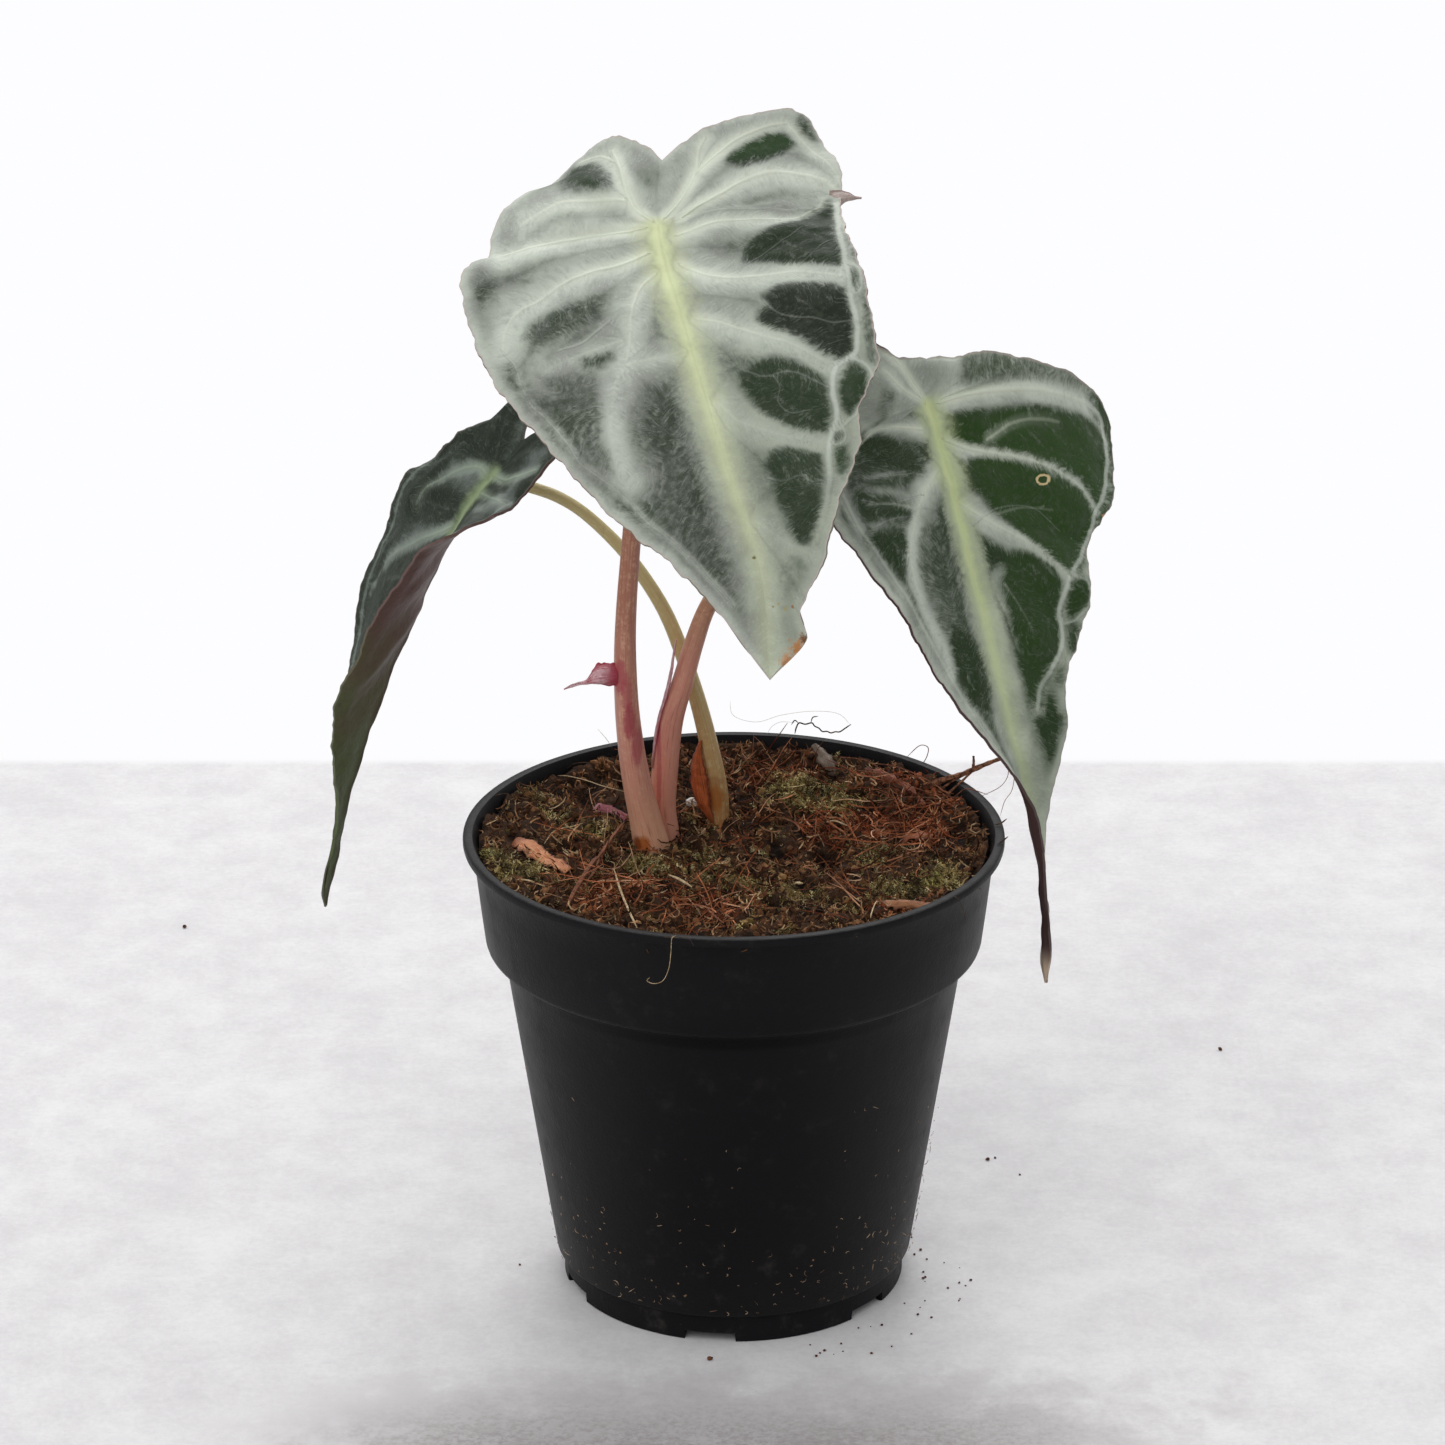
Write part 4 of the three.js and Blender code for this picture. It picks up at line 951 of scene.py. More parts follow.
def round_stalk(rows, route):
    """Rows of five points round a stalk."""
    line = smooth_route(route, 8)
    placed = []
    for height, start, end, off in rows:
        x, y, radius = (np.interp(height, line[:, 2], line[:, k]) for k in (0, 1, 3))
        reach = radius + off
        turns = np.radians(np.linspace(start, end, 5))
        placed.append([(x + reach * math.cos(turn), y + reach * math.sin(turn), height) for turn in turns])
    return np.array(placed)


def strip_rows(name):
    """The rows of points of a strip, in millimetres."""
    rows = STRIPS[name]
    if name == "sheath_sliver_right":
        return round_stalk(rows, STALK_ROUTES["right"])
    if name.endswith("scrap"):
        rows = [[(x, y, float(soil_base(x, y)) + up) for x, y, up in row] for row in rows]
    return np.array(rows)


def strip_mesh(name, thick, crumple, fray):
    """A thin closed sheet through the strip's rows, crumpled and frayed."""
    rows = strip_rows(name)
    count, width = rows.shape[:2]
    long = smooth_route(rows.reshape(count, -1), 10)
    wide = smooth_route(long.reshape(len(long), width, 3).transpose(1, 0, 2).reshape(width, -1), 5)
    sheet = wide.reshape(len(wide), len(long), 3).transpose(1, 0, 2)
    rows, columns = sheet.shape[:2]
    ways, sides = np.gradient(sheet, axis=0), np.gradient(sheet, axis=1)
    facing = np.cross(ways, sides)
    facing /= np.linalg.norm(facing, axis=-1)[..., None]
    across = np.linspace(0, 1, columns)
    seed = Vector((len(name) * 3.7, 1.3, 0))
    for i in range(rows):
        middle = sheet[i].mean(axis=0)
        for j in range(columns):
            spot = Vector(sheet[i, j])
            ragged = noise.noise(spot / 0.8 + seed) * fray * abs(2 * across[j] - 1) ** 3
            sheet[i, j] += (sheet[i, j] - middle) * ragged
            bump = noise.noise(spot / 2.2 + seed) + 0.5 * noise.noise(spot / 0.9 + seed)
            sheet[i, j] += facing[i, j] * bump * crumple
    edge = np.minimum(1, 0.25 + 3 * np.minimum(across, 1 - across))
    half = facing * (thick / 2 * edge)[None, :, None]
    points = np.concatenate([(sheet + half).reshape(-1, 3), (sheet - half).reshape(-1, 3)])
    size = rows * columns
    grid = (np.arange(rows - 1)[:, None] * columns + np.arange(columns - 1)).ravel()
    quads = np.stack([grid, grid + columns, grid + columns + 1, grid + 1], -1)
    faces = quads.tolist() + (quads[:, ::-1] + size).tolist()
    loop = (list(range(columns)) + [columns * i + columns - 1 for i in range(1, rows)]
            + [size - 1 - j for j in range(1, columns)] + [columns * i for i in range(rows - 2, 0, -1)])
    faces += [(a, b, b + size, a + size) for a, b in zip(loop, loop[1:] + loop[:1])]
    share = np.stack(np.meshgrid(np.linspace(0, 1, rows), across, indexing="ij"), -1).reshape(-1, 2)
    share = np.tile(share, (2, 1))
    skin = np.column_stack([share, np.zeros(len(share))])
    return mesh_of(name, points, faces, strip=skin)


def strip_material(name, codes):
    """Papery skin with fine lines along it, coloured edges and a foot of its own colour."""
    body, streak, edge, foot = tints(codes)
    material, paint = new_material(name)
    strip = paint.field("strip", 1)
    run, across, _ = strip.split()
    lines = strip.stretched((2, 16, 1)).grain(4, 0.65)
    mottle = paint.noise(paint.place(), 0.0018, 4, 0.65)
    colour = (lines * 0.7 + mottle * 0.4).rise(0.42, 0.68).blend(body, streak)
    rim = across.math("MINIMUM", across, 1 - across) + (mottle - 0.5) * 0.12
    colour = (rim.fall(0.02, 0.16) * 0.85).blend(colour, edge)
    colour = (run + (lines - 0.5) * 0.3).fall(0.02, 0.2).blend(colour, foot)
    finish(paint, colour, 0.55, lines + mottle, 0.0004, 0.3)
    return material


for name, piece, slot_name, thick, crumple, fray, colours in (
    ("torn_sheath_front", "sheath_scrap_front", "sheath_front", 0.3, 0.18, 0.12,
     ("f0ccd0", "c0606e", "a82c3e", "b04454")),
    # The sliver's body is painted nearly white: partly its own pale colour, partly a painted highlight.
    ("sheath_sliver", "sheath_sliver_right", "sheath_right", 0.3, 0.1, 0.2,
     ("f4dcdc", "cf7282", "b03a52", "b07468")),
    ("dead_sheath", "dead_sheath_left", "sheath_dead", 0.35, 0.25, 0.3,
     ("c86a38", "8e4424", "54281a", "a0552e")),
    ("papery_scrap", "dried_scrap", "dried_leaf", 0.35, 0.55, 0.5,
     ("b3683e", "d3966a", "5e301a", "8a4e2c")),
    ("crimson_flake", "crimson_scrap", "crimson_leaf", 0.35, 0.14, 0.3,
     ("6a2230", "8a4049", "501424", "a86a70")),
):
    add_piece(name, strip_mesh(piece, thick, crumple, fray), strip_material(
        f"{name.replace('_', ' ')} skin", colours), slot_name, piece)

# Perlite and the coir twig: one puffed white grain on the soil, and a brown woody twig with forks
# that leans out of the soil over the rim at the right rear. The rootstock is hidden in the soil.
GRAIN_PLACE = (-9.4, 26)
GRAIN_RADIUS = 1.35
TWIG_BRANCHES = [
    [(43.4, 30, 105.3, 0.8), (47.8, 29.8, 107.1, 0.7), (51, 29.6, 108.2, 0.65),
     (54.4, 30.8, 109.2, 0.6), (58.4, 32, 110.5, 0.5), (62.4, 33, 111.7, 0.35)],
    [(54.2, 30.9, 109.0, 0.35), (54.4, 30.8, 110.6, 0.32), (54.3, 31, 112.4, 0.25)],
    [(47, 25, 104.2, 0.3), (50, 27, 106.2, 0.3), (54.2, 30.7, 108.9, 0.25)],
    [(45, 27, 104.4, 0.25), (49, 29, 106.6, 0.25), (52, 29.8, 108.2, 0.2)],
    [(58.2, 32, 110.5, 0.2), (60.6, 33.2, 110.6, 0.14), (62.3, 33.6, 110.2, 0.08)],
]


def grain_mesh():
    """The grain as a puffed ball with pores."""
    x, y = GRAIN_PLACE
    middle = Vector((x, y, float(soil_base(x, y)) + GRAIN_RADIUS + 0.4))

    def shaped(way):
        rough = 1 + 0.16 * noise.noise(way * 1.6) + 0.1 * noise.noise(way * 5)
        pores = 0.2 * max(0, noise.noise(way * 7 + Vector((4, 4, 4))))
        return (middle + Vector((way.x, way.y * 0.85, way.z * 0.8)) * GRAIN_RADIUS * (rough - pores)) * MM

    return ball_mesh("perlite", 4, shaped)


def bark(row, around):
    """Ridges and knots on a twig, as a factor on its radius."""
    return 1 + 0.12 * np.sin(3 * around + 0.4 * row) + 0.1 * np.sin(1.7 * row)


add_piece("perlite", grain_mesh(), mottled_material("perlite", "d6d1c8", "fbfaf6", 0.0006, 0.9),
          "perlite", "perlite_grain")
branches = [tube(smooth_route(route, 6), 8, bark)[:2] for route in TWIG_BRANCHES]
add_piece("twig", joined("twig", branches), mottled_material(
    "twig bark", "4a2c1e", "9a6a4e", 0.0009, 0.8), "twig", "coir_twig")
rootstock = frame["nodes"]["rootstock"]
rootstock.data.materials.clear()
rootstock.data.materials.append(mottled_material("rootstock skin", "5a4030", "9a7a58", 0.002, 0.8))

# Loose threads, straws and flakes: single hairs of coir over the rim and the soil, dark curled
# rootlets on the back rim, pale straws, and the bark flakes that stick out of the soil. Each thread
# has a radius and its course.
THREADS = {
    "dark": ("2a201b", "5a4436", [
        (0.17, [(14.2, 56.6, 107.6), (14.6, 56.9, 109.2), (15.2, 57, 110.2), (16.6, 57.2, 109.8),
                (18.2, 57.5, 110), (18.8, 57.8, 109.1), (19.8, 58, 108.5), (20.6, 58.2, 107.6),
                (21.7, 58.5, 107.5), (22.6, 58.8, 107), (23.6, 59, 107.2), (24.6, 59.2, 107.1),
                (25.8, 59.5, 107.8), (27.3, 60, 108.7)]),
        (0.14, [(15.1, 57, 110.1), (14.2, 56.8, 110.9), (13.4, 56.6, 109.9)]),
        (0.13, [(17.9, 57.5, 110), (18.4, 57.5, 111.4), (19.6, 57.6, 111.6)]),
        (0.2, [(57.8, 2.6, 107.3), (59.3, 3, 107.6), (60.6, 3.1, 108.6)]),
        (0.2, [(57.9, -8.5, 107.2), (59.3, -7, 107.6), (60.4, -7.1, 108.6)]),
        (0.09, [(9.5, -28.2, 104.6), (12.1, -33.4, 105), (14.8, -38.3, 105.4), (19.7, -41, 105.4),
                (24.5, -47.9, 105.6)]),
        (0.08, [(-15.7, -57.2, 106.6), (-12.7, -60.2, 107.7), (-9.7, -60.4, 107.6), (-8.5, -60.8, 106)]),
        (0.08, [(47, -36, 106.6), (47.9, -38.6, 107.5), (49.3, -38.2, 104.6), (50, -36.4, 100.7)]),
        (0.11, [(-54.7, 18.1, 105), (-53.9, 20.9, 106.5), (-51.3, 21.7, 107), (-49.9, 22.1, 106)]),
        (0.1, [(-38.9, 43.3, 103.5), (-37.1, 41.4, 106), (-35.5, 40.2, 107), (-32.8, 40.2, 107),
               (-30.8, 43.3, 104.5)]),
    ]),
    "brown": ("5a3626", "8e5c42", [
        (0.42, [(-24.4, 6.3, 106.4), (-26.6, 0.6, 105.7), (-28.8, -6.8, 105.1), (-30.1, -9.5, 104.2)]),
        (0.5, [(-30.1, -8.4, 104.3), (-31.1, -14.7, 105.4), (-32.8, -23.6, 106), (-34.4, -30.2, 105.6),
               (-36, -37.1, 104.8)]),
        (0.3, [(-29.6, -9.6, 104.4), (-30.2, -18, 105.4), (-31.9, -26, 106)]),
        (0.22, [(-6.7, -31.2, 105), (-5.2, -42.1, 105.8), (-2.2, -47.9, 105.6)]),
        (0.13, [(48.7, 24, 104), (51.2, 24.6, 106.2), (52.6, 22.4, 107.9), (57, 18, 108.3)]),
        (0.1, [(39.5, 44, 106.7), (42.9, 43.4, 110.1), (44.5, 42.6, 109.8), (44, 41.6, 107.5),
               (41.5, 40, 104.9)]),
        (0.08, [(62.3, 32.6, 111.5), (63.4, 28, 109.7), (62.7, 22, 107.8), (60.8, 16, 107.6),
                (59.4, 8, 107.3)]),
        (0.08, [(61.2, 33, 111.2), (62.2, 29, 109.4), (60.4, 24, 108), (55, 20, 106.7)]),
        (0.13, [(30, 44, 105.5), (37, 38, 107), (44, 31, 106.5), (49, 24, 105.5)]),
        (0.13, [(27, 40, 105.5), (33, 35, 106.6), (41, 33, 106.6), (47, 29, 106)]),
        (0.1, [(20, 48, 105.5), (30, 42, 107), (36, 33, 106.4), (44, 26, 105.6), (52, 21, 106)]),
        (0.12, [(52.5, 12, 105), (47, 19, 106.5), (42, 22, 106), (33, 23, 105.4)]),
    ]),
    "pale": ("a58a68", "d2bd98", [
        (0.1, [(-40.6, 40.9, 103.6), (-37.9, 36, 105.5), (-33.7, 32.3, 106), (-29.6, 28.7, 106),
               (-24.8, 28.8, 104.6)]),
        (0.1, [(-42, -0.7, 104.2), (-40.2, 3.5, 105.2), (-38.2, 5.8, 105.2), (-36.2, 6.7, 105.2),
               (-33.7, 10.5, 104.5)]),
        (0.3, [(-14.2, -22, 105.8), (-11.7, -24.7, 105.8), (-9.1, -27.4, 105.2)]),
        (0.26, [(-26.3, -15.5, 104.6), (-24.5, -30.5, 105.6), (-22.6, -40.5, 105.4),
                (-20.7, -50.7, 105.8)]),
        (0.2, [(20.2, 12.1, 103.9), (22.6, 10.5, 105), (25.4, 9.6, 104.2)]),
        (0.14, [(28.8, -46.9, 105), (29.5, -42.7, 106), (30.5, -38.4, 106.4), (31.4, -35.6, 105.4)]),
        (0.035, [(-0.8, 50, 118.4), (-0.1, 51, 114.5), (5.2, 52, 112.4), (11, 54, 113.3),
                (18.6, 56, 113.5), (24.4, 57, 112.4), (27.3, 58.6, 108.8)]),
        (0.035, [(7.8, 57.6, 107.2), (9, 57, 109.4), (11, 56.6, 110.6), (14.3, 56.8, 110.3)]),
        (0.06, [(-31.2, 50, 111.5), (-29.1, 50.4, 108.7), (-28.2, 50.6, 107.1)]),
        (0.06, [(-12.4, -58.2, 107.3), (-13.2, -61.2, 107.9), (-13.4, -61.2, 104.6), (-14, -61, 100.4),
                (-15.3, -60.9, 97.9), (-17.2, -60.9, 97.4), (-18.5, -60.9, 98.1), (-17.9, -60.9, 98.8)]),
        (0.2, [(-48.8, -21.8, 104.4), (-45.5, -22.9, 105), (-41.1, -25.6, 104.6)]),
        (0.4, [(13.3, -22.9, 104.4), (15, -24, 104.6)]),
    ]),
}
for shade, (low, high, lines) in THREADS.items():
    tubes = []
    for radius, points in lines:
        line = smooth_route(points, 6)
        ends = np.minimum(np.arange(len(line)), np.arange(len(line))[::-1])
        radii = radius * np.minimum(1, 0.35 + 0.2 * ends)
        tubes.append(tube(np.column_stack([line, radii]), 6)[:2])
    add_piece(f"threads_{shade}", joined(shade, tubes), mottled_material(
        f"{shade} thread", low, high, 0.0012, 0.8, 0.0001), "soil")

FLAKES = [
    ("bark_flake", ("7c4229", "96563a", "48220f", "5c301c"), [
        [(29.6, 43, 103), (30.2, 43.8, 104.2), (31, 44.4, 103.6)],
        [(33.4, 37.8, 103.6), (34.6, 38.6, 105.4), (35.6, 39.2, 104.2)],
        [(37, 31.8, 103.8), (38.4, 32.6, 105.8), (39.6, 33.2, 104.2)],
        [(40, 26.8, 103.4), (41, 27.4, 105), (42, 28, 104)],
        [(42.6, 22.6, 103.2), (43.1, 23, 103.8), (43.5, 23.4, 103.4)]]),
    ("grey_bract", ("8b7c70", "b3a597", "5a4c43", "5e4e44"), [
        [(20.6, 41.2, 103.4), (22.2, 40.8, 103.6), (23.8, 41.4, 103.4)],
        [(19.8, 41.6, 106), (21.2, 40.8, 106.8), (23.4, 41.6, 106.4)],
        [(18.6, 42, 108.6), (19.8, 41.4, 109.4), (21.4, 42, 109)],
        [(17.8, 42.4, 110.4), (18.4, 42.2, 110.9), (19.2, 42.6, 110.8)]]),
    ("coir_pith", ("8f4e2e", "ab6a44", "5e2e18", "743e24"), [
        [(37.4, 1.6, 103.4), (37.8, 3, 104.2), (38, 4.6, 103.8)],
        [(41, 2, 104.2), (41.2, 3.6, 105), (41.4, 5.2, 104.2)],
        [(45, 2.2, 103.6), (45, 3.2, 104.4), (45.2, 4.2, 103.8)]]),
    ("brown_chip", ("8a5a3c", "a87550", "54301d", "6a4029"), [
        [(31, -36, 104.2), (32, -35, 105), (33.4, -34.4, 104.4)],
        [(36, -38.4, 105), (36.6, -37, 106), (37.6, -35.8, 105)],
        [(42, -38.6, 104.6), (42, -37.4, 105.6), (42.6, -36.4, 104.8)]]),
]
for name, colours, rows in FLAKES:
    STRIPS[name] = rows
    add_piece(name, strip_mesh(name, 0.4, 0.4, 0.6), strip_material(
        f"{name.replace('_', ' ')} skin", colours), "soil")

# The stalks: fleshy round leaf stalks that leave the soil close together and lean apart. Their
# skin is streaked along its length, pinkish brown or olive. The left stalk is darker near the soil;
# the front and right stalks are painted lighter there, partly their own pinkish skin and partly
# painted light against the shade there. A paint has the colours from the soil up, its streak and
# its dark colour, and patches with their place, width, height, strength and colour.
STALK_ROUND = 28


def stalk_mesh(name, route):
    """A stalk along its route, with low ribs along its skin."""
    line = smooth_route(route, 14)

    def skin(row, around):
        along = line[row, 2] * 0.05
        return 1 + 0.012 * np.sin(7 * around + along) + 0.01 * np.sin(11 * around - 2 * along)

    points, faces, skins = tube(line, STALK_ROUND, skin)
    return mesh_of(name, points, faces, skin=skins)


def stalk_material(name, stops, streak, dark, patches):
    """Skin that changes colour with its height, streaked and flecked, with a few coloured patches."""
    material, paint = new_material(name)
    streak, dark = tints((streak, dark))
    skin = paint.field("skin", 1)
    place = paint.place()
    x, _, height = place.split()
    streaks, lines = [
        skin.stretched(factors).grain(5, 0.65) for factors in ((5, 5, 0.07), (20, 20, 0.2))]
    mottle = paint.noise(place, 0.0012, 4, 0.7)
    colour = ((height - 0.1) / 0.16).ramp(stops, "EASE")
    colour = ((streaks * 0.5 + mottle * 0.5).rise(0.48, 0.66) * 0.6).blend(colour, streak)
    colour = ((streaks * 0.5 + lines * 0.5).fall(0.36, 0.47) * 0.65).blend(colour, dark)
    # Times one makes a single number of the skin's vector, so the specks lie in slanted bands.
    specks = paint.noise(skin * 1.0, 0.9, 2, 0.5, 3)
    colour = (specks.rise(0.66, 0.72) * lines.rise(0.4, 0.6) * 0.6).blend(colour, dark)
    for centre_x, centre_z, wide, tall, strength, patch in patches:
        aside, above = (x - centre_x * MM) / (wide * MM), (height - centre_z * MM) / (tall * MM)
        away = aside ** 2.0 + above ** 2.0 + (mottle - 0.5) * 1.2 + (lines - 0.5) * 1.0
        colour = (away.fall(0.3, 1.3) * strength).blend(colour, tint(patch))
    finish(paint, colour, 0.36, lines + mottle, 0.0001, 0.4)
    return material


# The lightest colours at the foot of the front and right stalks are partly painted light, against the shade
# near the soil.
STALK_PAINTS = {
    "front": (
        [(0, "dfa888"), (0.15, "cd8f7c"), (0.4, "ab725b"), (1, "b8906e")],
        "e0b496", "965244", [
            (-24.9, 144, 1.6, 4.5, 0.75, "a83e4c"), (-23.4, 140, 1.4, 5, 0.55, "a83e4c"),
            (-22.9, 133.5, 1.5, 4.8, 0.8, "a23a48"), (-21.3, 127.2, 1.3, 4.8, 0.7, "a64450"),
            (-20.1, 103.4, 2, 2.4, 0.95, "b0602a"), (-21.4, 103, 1, 2.6, 0.8, "7c3c1c"),
        ]),
    "right": (
        [(0, "e3a18a"), (0.2, "dc9886"), (0.4, "b08262"), (1, "bb9878")],
        "deb290", "985244", [
            (-16.8, 131, 0.7, 9, 0.8, "b03a50"), (-16.6, 118, 0.6, 12, 0.6, "b8505c"),
        ]),
    "left": (
        [(0, "a87444"), (0.1, "c09c68"), (0.25, "cab880"), (1, "ccca90")],
        "dcd4a4", "a8845a", [
            (-4, 109, 2, 3.4, 0.85, "a5642e"), (-4.5, 113, 2.6, 1.2, 0.4, "9a5f34"),
        ]),
}
for leaf, route in STALK_ROUTES.items():
    add_piece(f"leaf_stalk_{leaf}", stalk_mesh(f"stalk {leaf}", route),
              stalk_material(f"stalk skin {leaf}", *STALK_PAINTS[leaf]), f"stalk_{leaf}", f"stalk_{leaf}")

# The blades: leathery heart-shaped leaves with a keel under the midrib, side veins sunk into the
# upper face, a sheet that puffs up between them, and a waved margin.
BLADE_THICK = 0.65
BLADE_STEPS = 230
BLADE_ACROSS = 56
BLADE_UNDER = 22
# A spine's rows are a place along the blade, its x, y and z, the way the face looks there, and for
# the left and the right half how steeply the sheet leaves the midrib and how much it bends in 40 mm.
# A margin's rows are a station, how far along and across the blade it lies, and its wave. Roots tie
# the stations to places along the midrib.
BLADES = {
    "front": {
        "keel": 1.0,
        "ironed": (3.3, 4.75),
        "spine": [
            (-30, -14, 12, 271, 0, -0.55, 0.83, -26, 0, -70, -25),
            (-14, -15.3, 2, 259.5, 0, -0.62, 0.78, -12, 4, -50, -20),
            (0, -16.5, -8, 248.5, 0, -0.66, 0.75, 4, 8, -16, -16),
            (30, -10, -31, 231, 0, -0.74, 0.67, 10, 10, -12, -12),
            (60, -2, -52, 210.5, 0, -0.78, 0.62, 10, 10, -10, -10),
            (86, 5.3, -67, 191.4, 0, -0.84, 0.54, 12, 12, 0, 0),
            (107, 7.2, -76, 172, 0, -0.88, 0.47, 14, 14, 0, 0),
        ],
        "roots": [(0, 0), (4, 0), (5, 8), (6, 24), (7, 44), (8, 65), (9, 85), (10, 107)],
        "left": [
            (0, -14.5, 0, 0), (0.5, -18, 4, 0), (1, -21.5, 10, 0), (2, -22.5, 18, -0.5),
            (2.5, -18.5, 25, -1), (3, -11.5, 31, -2), (3.5, -3, 34.5, -2.5), (3.8, 1.5, 36.5, -2),
            (4, 3, 40, 0.5), (4.5, 8.5, 43, 1.5), (5, 21, 43, 0), (5.5, 33, 41, -1),
            (6, 45, 36, 0.5), (6.5, 56, 31, 1), (7, 66, 25.5, -0.5), (7.5, 78, 18.5, 0.6),
            (8, 88, 13, 0), (9, 99, 5.7, 0), (10, 107, 0, 0),
        ],
        "right": [
            (0, -14.5, 0, 0), (0.5, -20, 5, 0), (1, -24.5, 11, 0), (1.5, -28, 19, 0.5),
            (2, -31, 28, 0), (2.5, -25, 33.5, -1.5), (3, -16, 38.5, 1), (4, -6, 37.5, -2),
            (4.5, 10, 38.5, 0), (5, 25, 39, 1.5), (5.5, 38, 38, 0), (6, 48, 36.5, -1),
            (6.5, 57, 30, 1), (7, 67, 27, -1), (7.5, 78, 18.5, 1), (8, 87, 12.5, -0.5),
            (8.5, 93.5, 7.3, 1), (9, 99.5, 8, 1.5), (10, 107, 0, 0),
        ],
    },
    "right": {
        "keel": 0.9,
        "spine": [
            (-28, 28, -2, 228, 0.45, -0.72, 0.5, -20, -5, -90, -20),
            (0, 42, 5, 204.4, 0.5, -0.74, 0.42, 5, 8, -30, -25),
            (36, 51, -7, 172, 0.54, -0.76, 0.34, 10, 8, 0, -20),
            (68, 59, -16, 142, 0.58, -0.78, 0.26, 14, 10, 20, -10),
            (98, 65.5, -20.5, 113, 0.66, -0.75, 0.15, 40, 15, 400, 0),
            (112, 67.1, -21, 99.4, 0.9, -0.3, 0.1, 40, 15, 100, 0),
            (132, 68.7, -20, 79, 0.66, 0.75, 0, 20, 20, 0, 0),
        ],
        "roots": [(0, 0), (3.5, 0), (4, 4), (5, 14), (6, 27), (7, 45), (8, 68), (9, 98), (9.5, 116),
                  (10, 132)],
        "left": [
            (0, -13, 0, 0), (1, -26, 6, 0), (1.5, -26, 13, -0.5), (2, -19, 20, -1),
            (3, -10, 26, 0), (3.5, 0, 29, 0.5), (4, 9, 31, 0), (4.5, 17, 33, -0.5),
            (5, 22, 35.5, 0.5), (5.5, 29, 31.5, 0), (6, 42.6, 23.5, 0.5), (6.5, 55, 18, 0),
            (7, 66, 13.5, 0), (7.5, 76, 10, 0), (8, 88, 8, 0), (8.5, 100, 5, 0), (9, 112, 3, 0),
            (9.5, 124, 2, 0), (10, 132, 0, 0),
        ],
        "right": [
            (0, -13, 0, 0), (1, -10, 3.6, 0), (1.5, -5, 10.5, 0), (2, -2, 20, -0.5),
            (2.5, 2, 31, 0), (3, 6, 42, 0.5), (3.5, 11, 50.5, -1), (4, 18.5, 47.5, 0),
            (4.5, 28, 42.5, 1), (5, 39.5, 32.5, -1), (5.5, 49, 28, 1), (6, 58, 22.5, -0.8),
            (6.5, 66, 15.5, 0.5), (7, 76, 14, -0.8), (7.5, 85, 8.3, 0), (8, 95, 3.5, 0),
            (9, 112, 1, 0), (9.5, 124, 2.5, 0), (10, 132, 0, 0),
        ],
    },
    "left": {
        "keel": 0.7,
        "spine": [
            (-22, -38.3, 16, 202, -0.66, -0.45, 0.6, 5, 5, 0, 0),
            (0, -52.7, 15, 185.5, -0.7, -0.45, 0.56, 8, 8, 0, 10),
            (12, -60.2, 12.5, 176, -0.8, -0.4, 0.48, 6, 14, 0, 50),
            (29.3, -67.8, 9.5, 161, -0.9, -0.32, 0.36, 6, 22, 0, 70),
            (46.5, -74.7, 7.5, 145, -0.93, -0.28, 0.32, 6, 30, 0, 75),
            (71.4, -83.3, 5, 122, -0.95, -0.2, 0.25, 10, 36, 0, 70),
            (108, -91, 3, 87.3, -0.97, -0.15, 0.2, 20, 40, 0, 0),
        ],
        "roots": [(0, 0), (3.5, 0), (4, 4), (5, 9), (6, 20), (7, 37.5), (8, 59), (9, 89), (10, 108)],
        "left": [
            (0, -10, 0, 0), (1, -19, 7, 0), (2, -13, 10.5, 0.5), (2.5, -6.5, 12.4, -0.5),
            (3, 0, 16, 0.5), (3.5, 6, 20, -1), (4, 12, 24.5, 0.8), (5, 26, 27.5, -0.5),
            (6, 41, 28, 0.5), (6.5, 51, 24.8, -0.5), (7, 59, 18.2, 0.5), (7.5, 69, 14.6, -0.5),
            (8, 79, 8, 0), (8.5, 90, 3, 0), (9, 104, 2.5, 0), (10, 108, 0, 0),
        ],
        "right": [
            (0, -10, 0, 0), (1, -20, 7, 0), (2, -14.5, 13.2, -0.5), (2.5, -8, 16, 0.5),
            (3, -1, 16.5, -0.5), (3.5, 4, 20, 0.5), (4, 9, 22, -0.8), (5, 18, 25, 0.5),
            (5.5, 26, 22, 0), (6, 37, 19.5, 0.5), (6.5, 46, 18, -0.3), (7, 55, 17, 0.3),
            (7.5, 64, 13.5, 0), (8, 75, 8, 0), (8.5, 86, 3.5, 0), (9, 102, 3, 0), (10, 108, 0, 0),
        ],
    },
}


def along(table, stations):
    """Smooth values of a table at the stations. Each row is a station and its values."""
    table = np.array(table, float)
    keys, values = table[:, 0], table[:, 1:]
    slopes = np.empty_like(values)
    slopes[1:-1] = (values[2:] - values[:-2]) / (keys[2:] - keys[:-2])[:, None]
    slopes[0] = (values[1] - values[0]) / (keys[1] - keys[0])
    slopes[-1] = (values[-1] - values[-2]) / (keys[-1] - keys[-2])
    stations = np.asarray(stations, float)
    row = np.clip(np.searchsorted(keys, stations, "right") - 1, 0, len(keys) - 2)
    span = (keys[row + 1] - keys[row])[..., None]
    share = (stations - keys[row])[..., None] / span
    t = np.clip(share, 0, 1)
    inside = cubic(t, values[row], span * slopes[row], values[row + 1], span * slopes[row + 1])
    outside = np.where(share < 0, slopes[row], slopes[row + 1]) * (share - t) * span
    return inside + outside


def eased(share):
    """A share from 0 to 1 with a smooth start and end."""
    return share * share * (3 - 2 * share)


def blade_flat(blade, side, ribs, shares):
    """Where the ribs and shares of a half lie in the flat blade: along and across the midrib."""
    ends = along(blade["left" if side < 0 else "right"], ribs)
    roots = np.maximum(along(blade["roots"], ribs)[:, 0], 0)
    place = roots[:, None] + (ends[:, 0] - roots)[:, None] * shares**1.25
    across = np.maximum(ends[:, 1], 0)[:, None] * shares
    return place, across, ends[:, 2][:, None] * shares**3


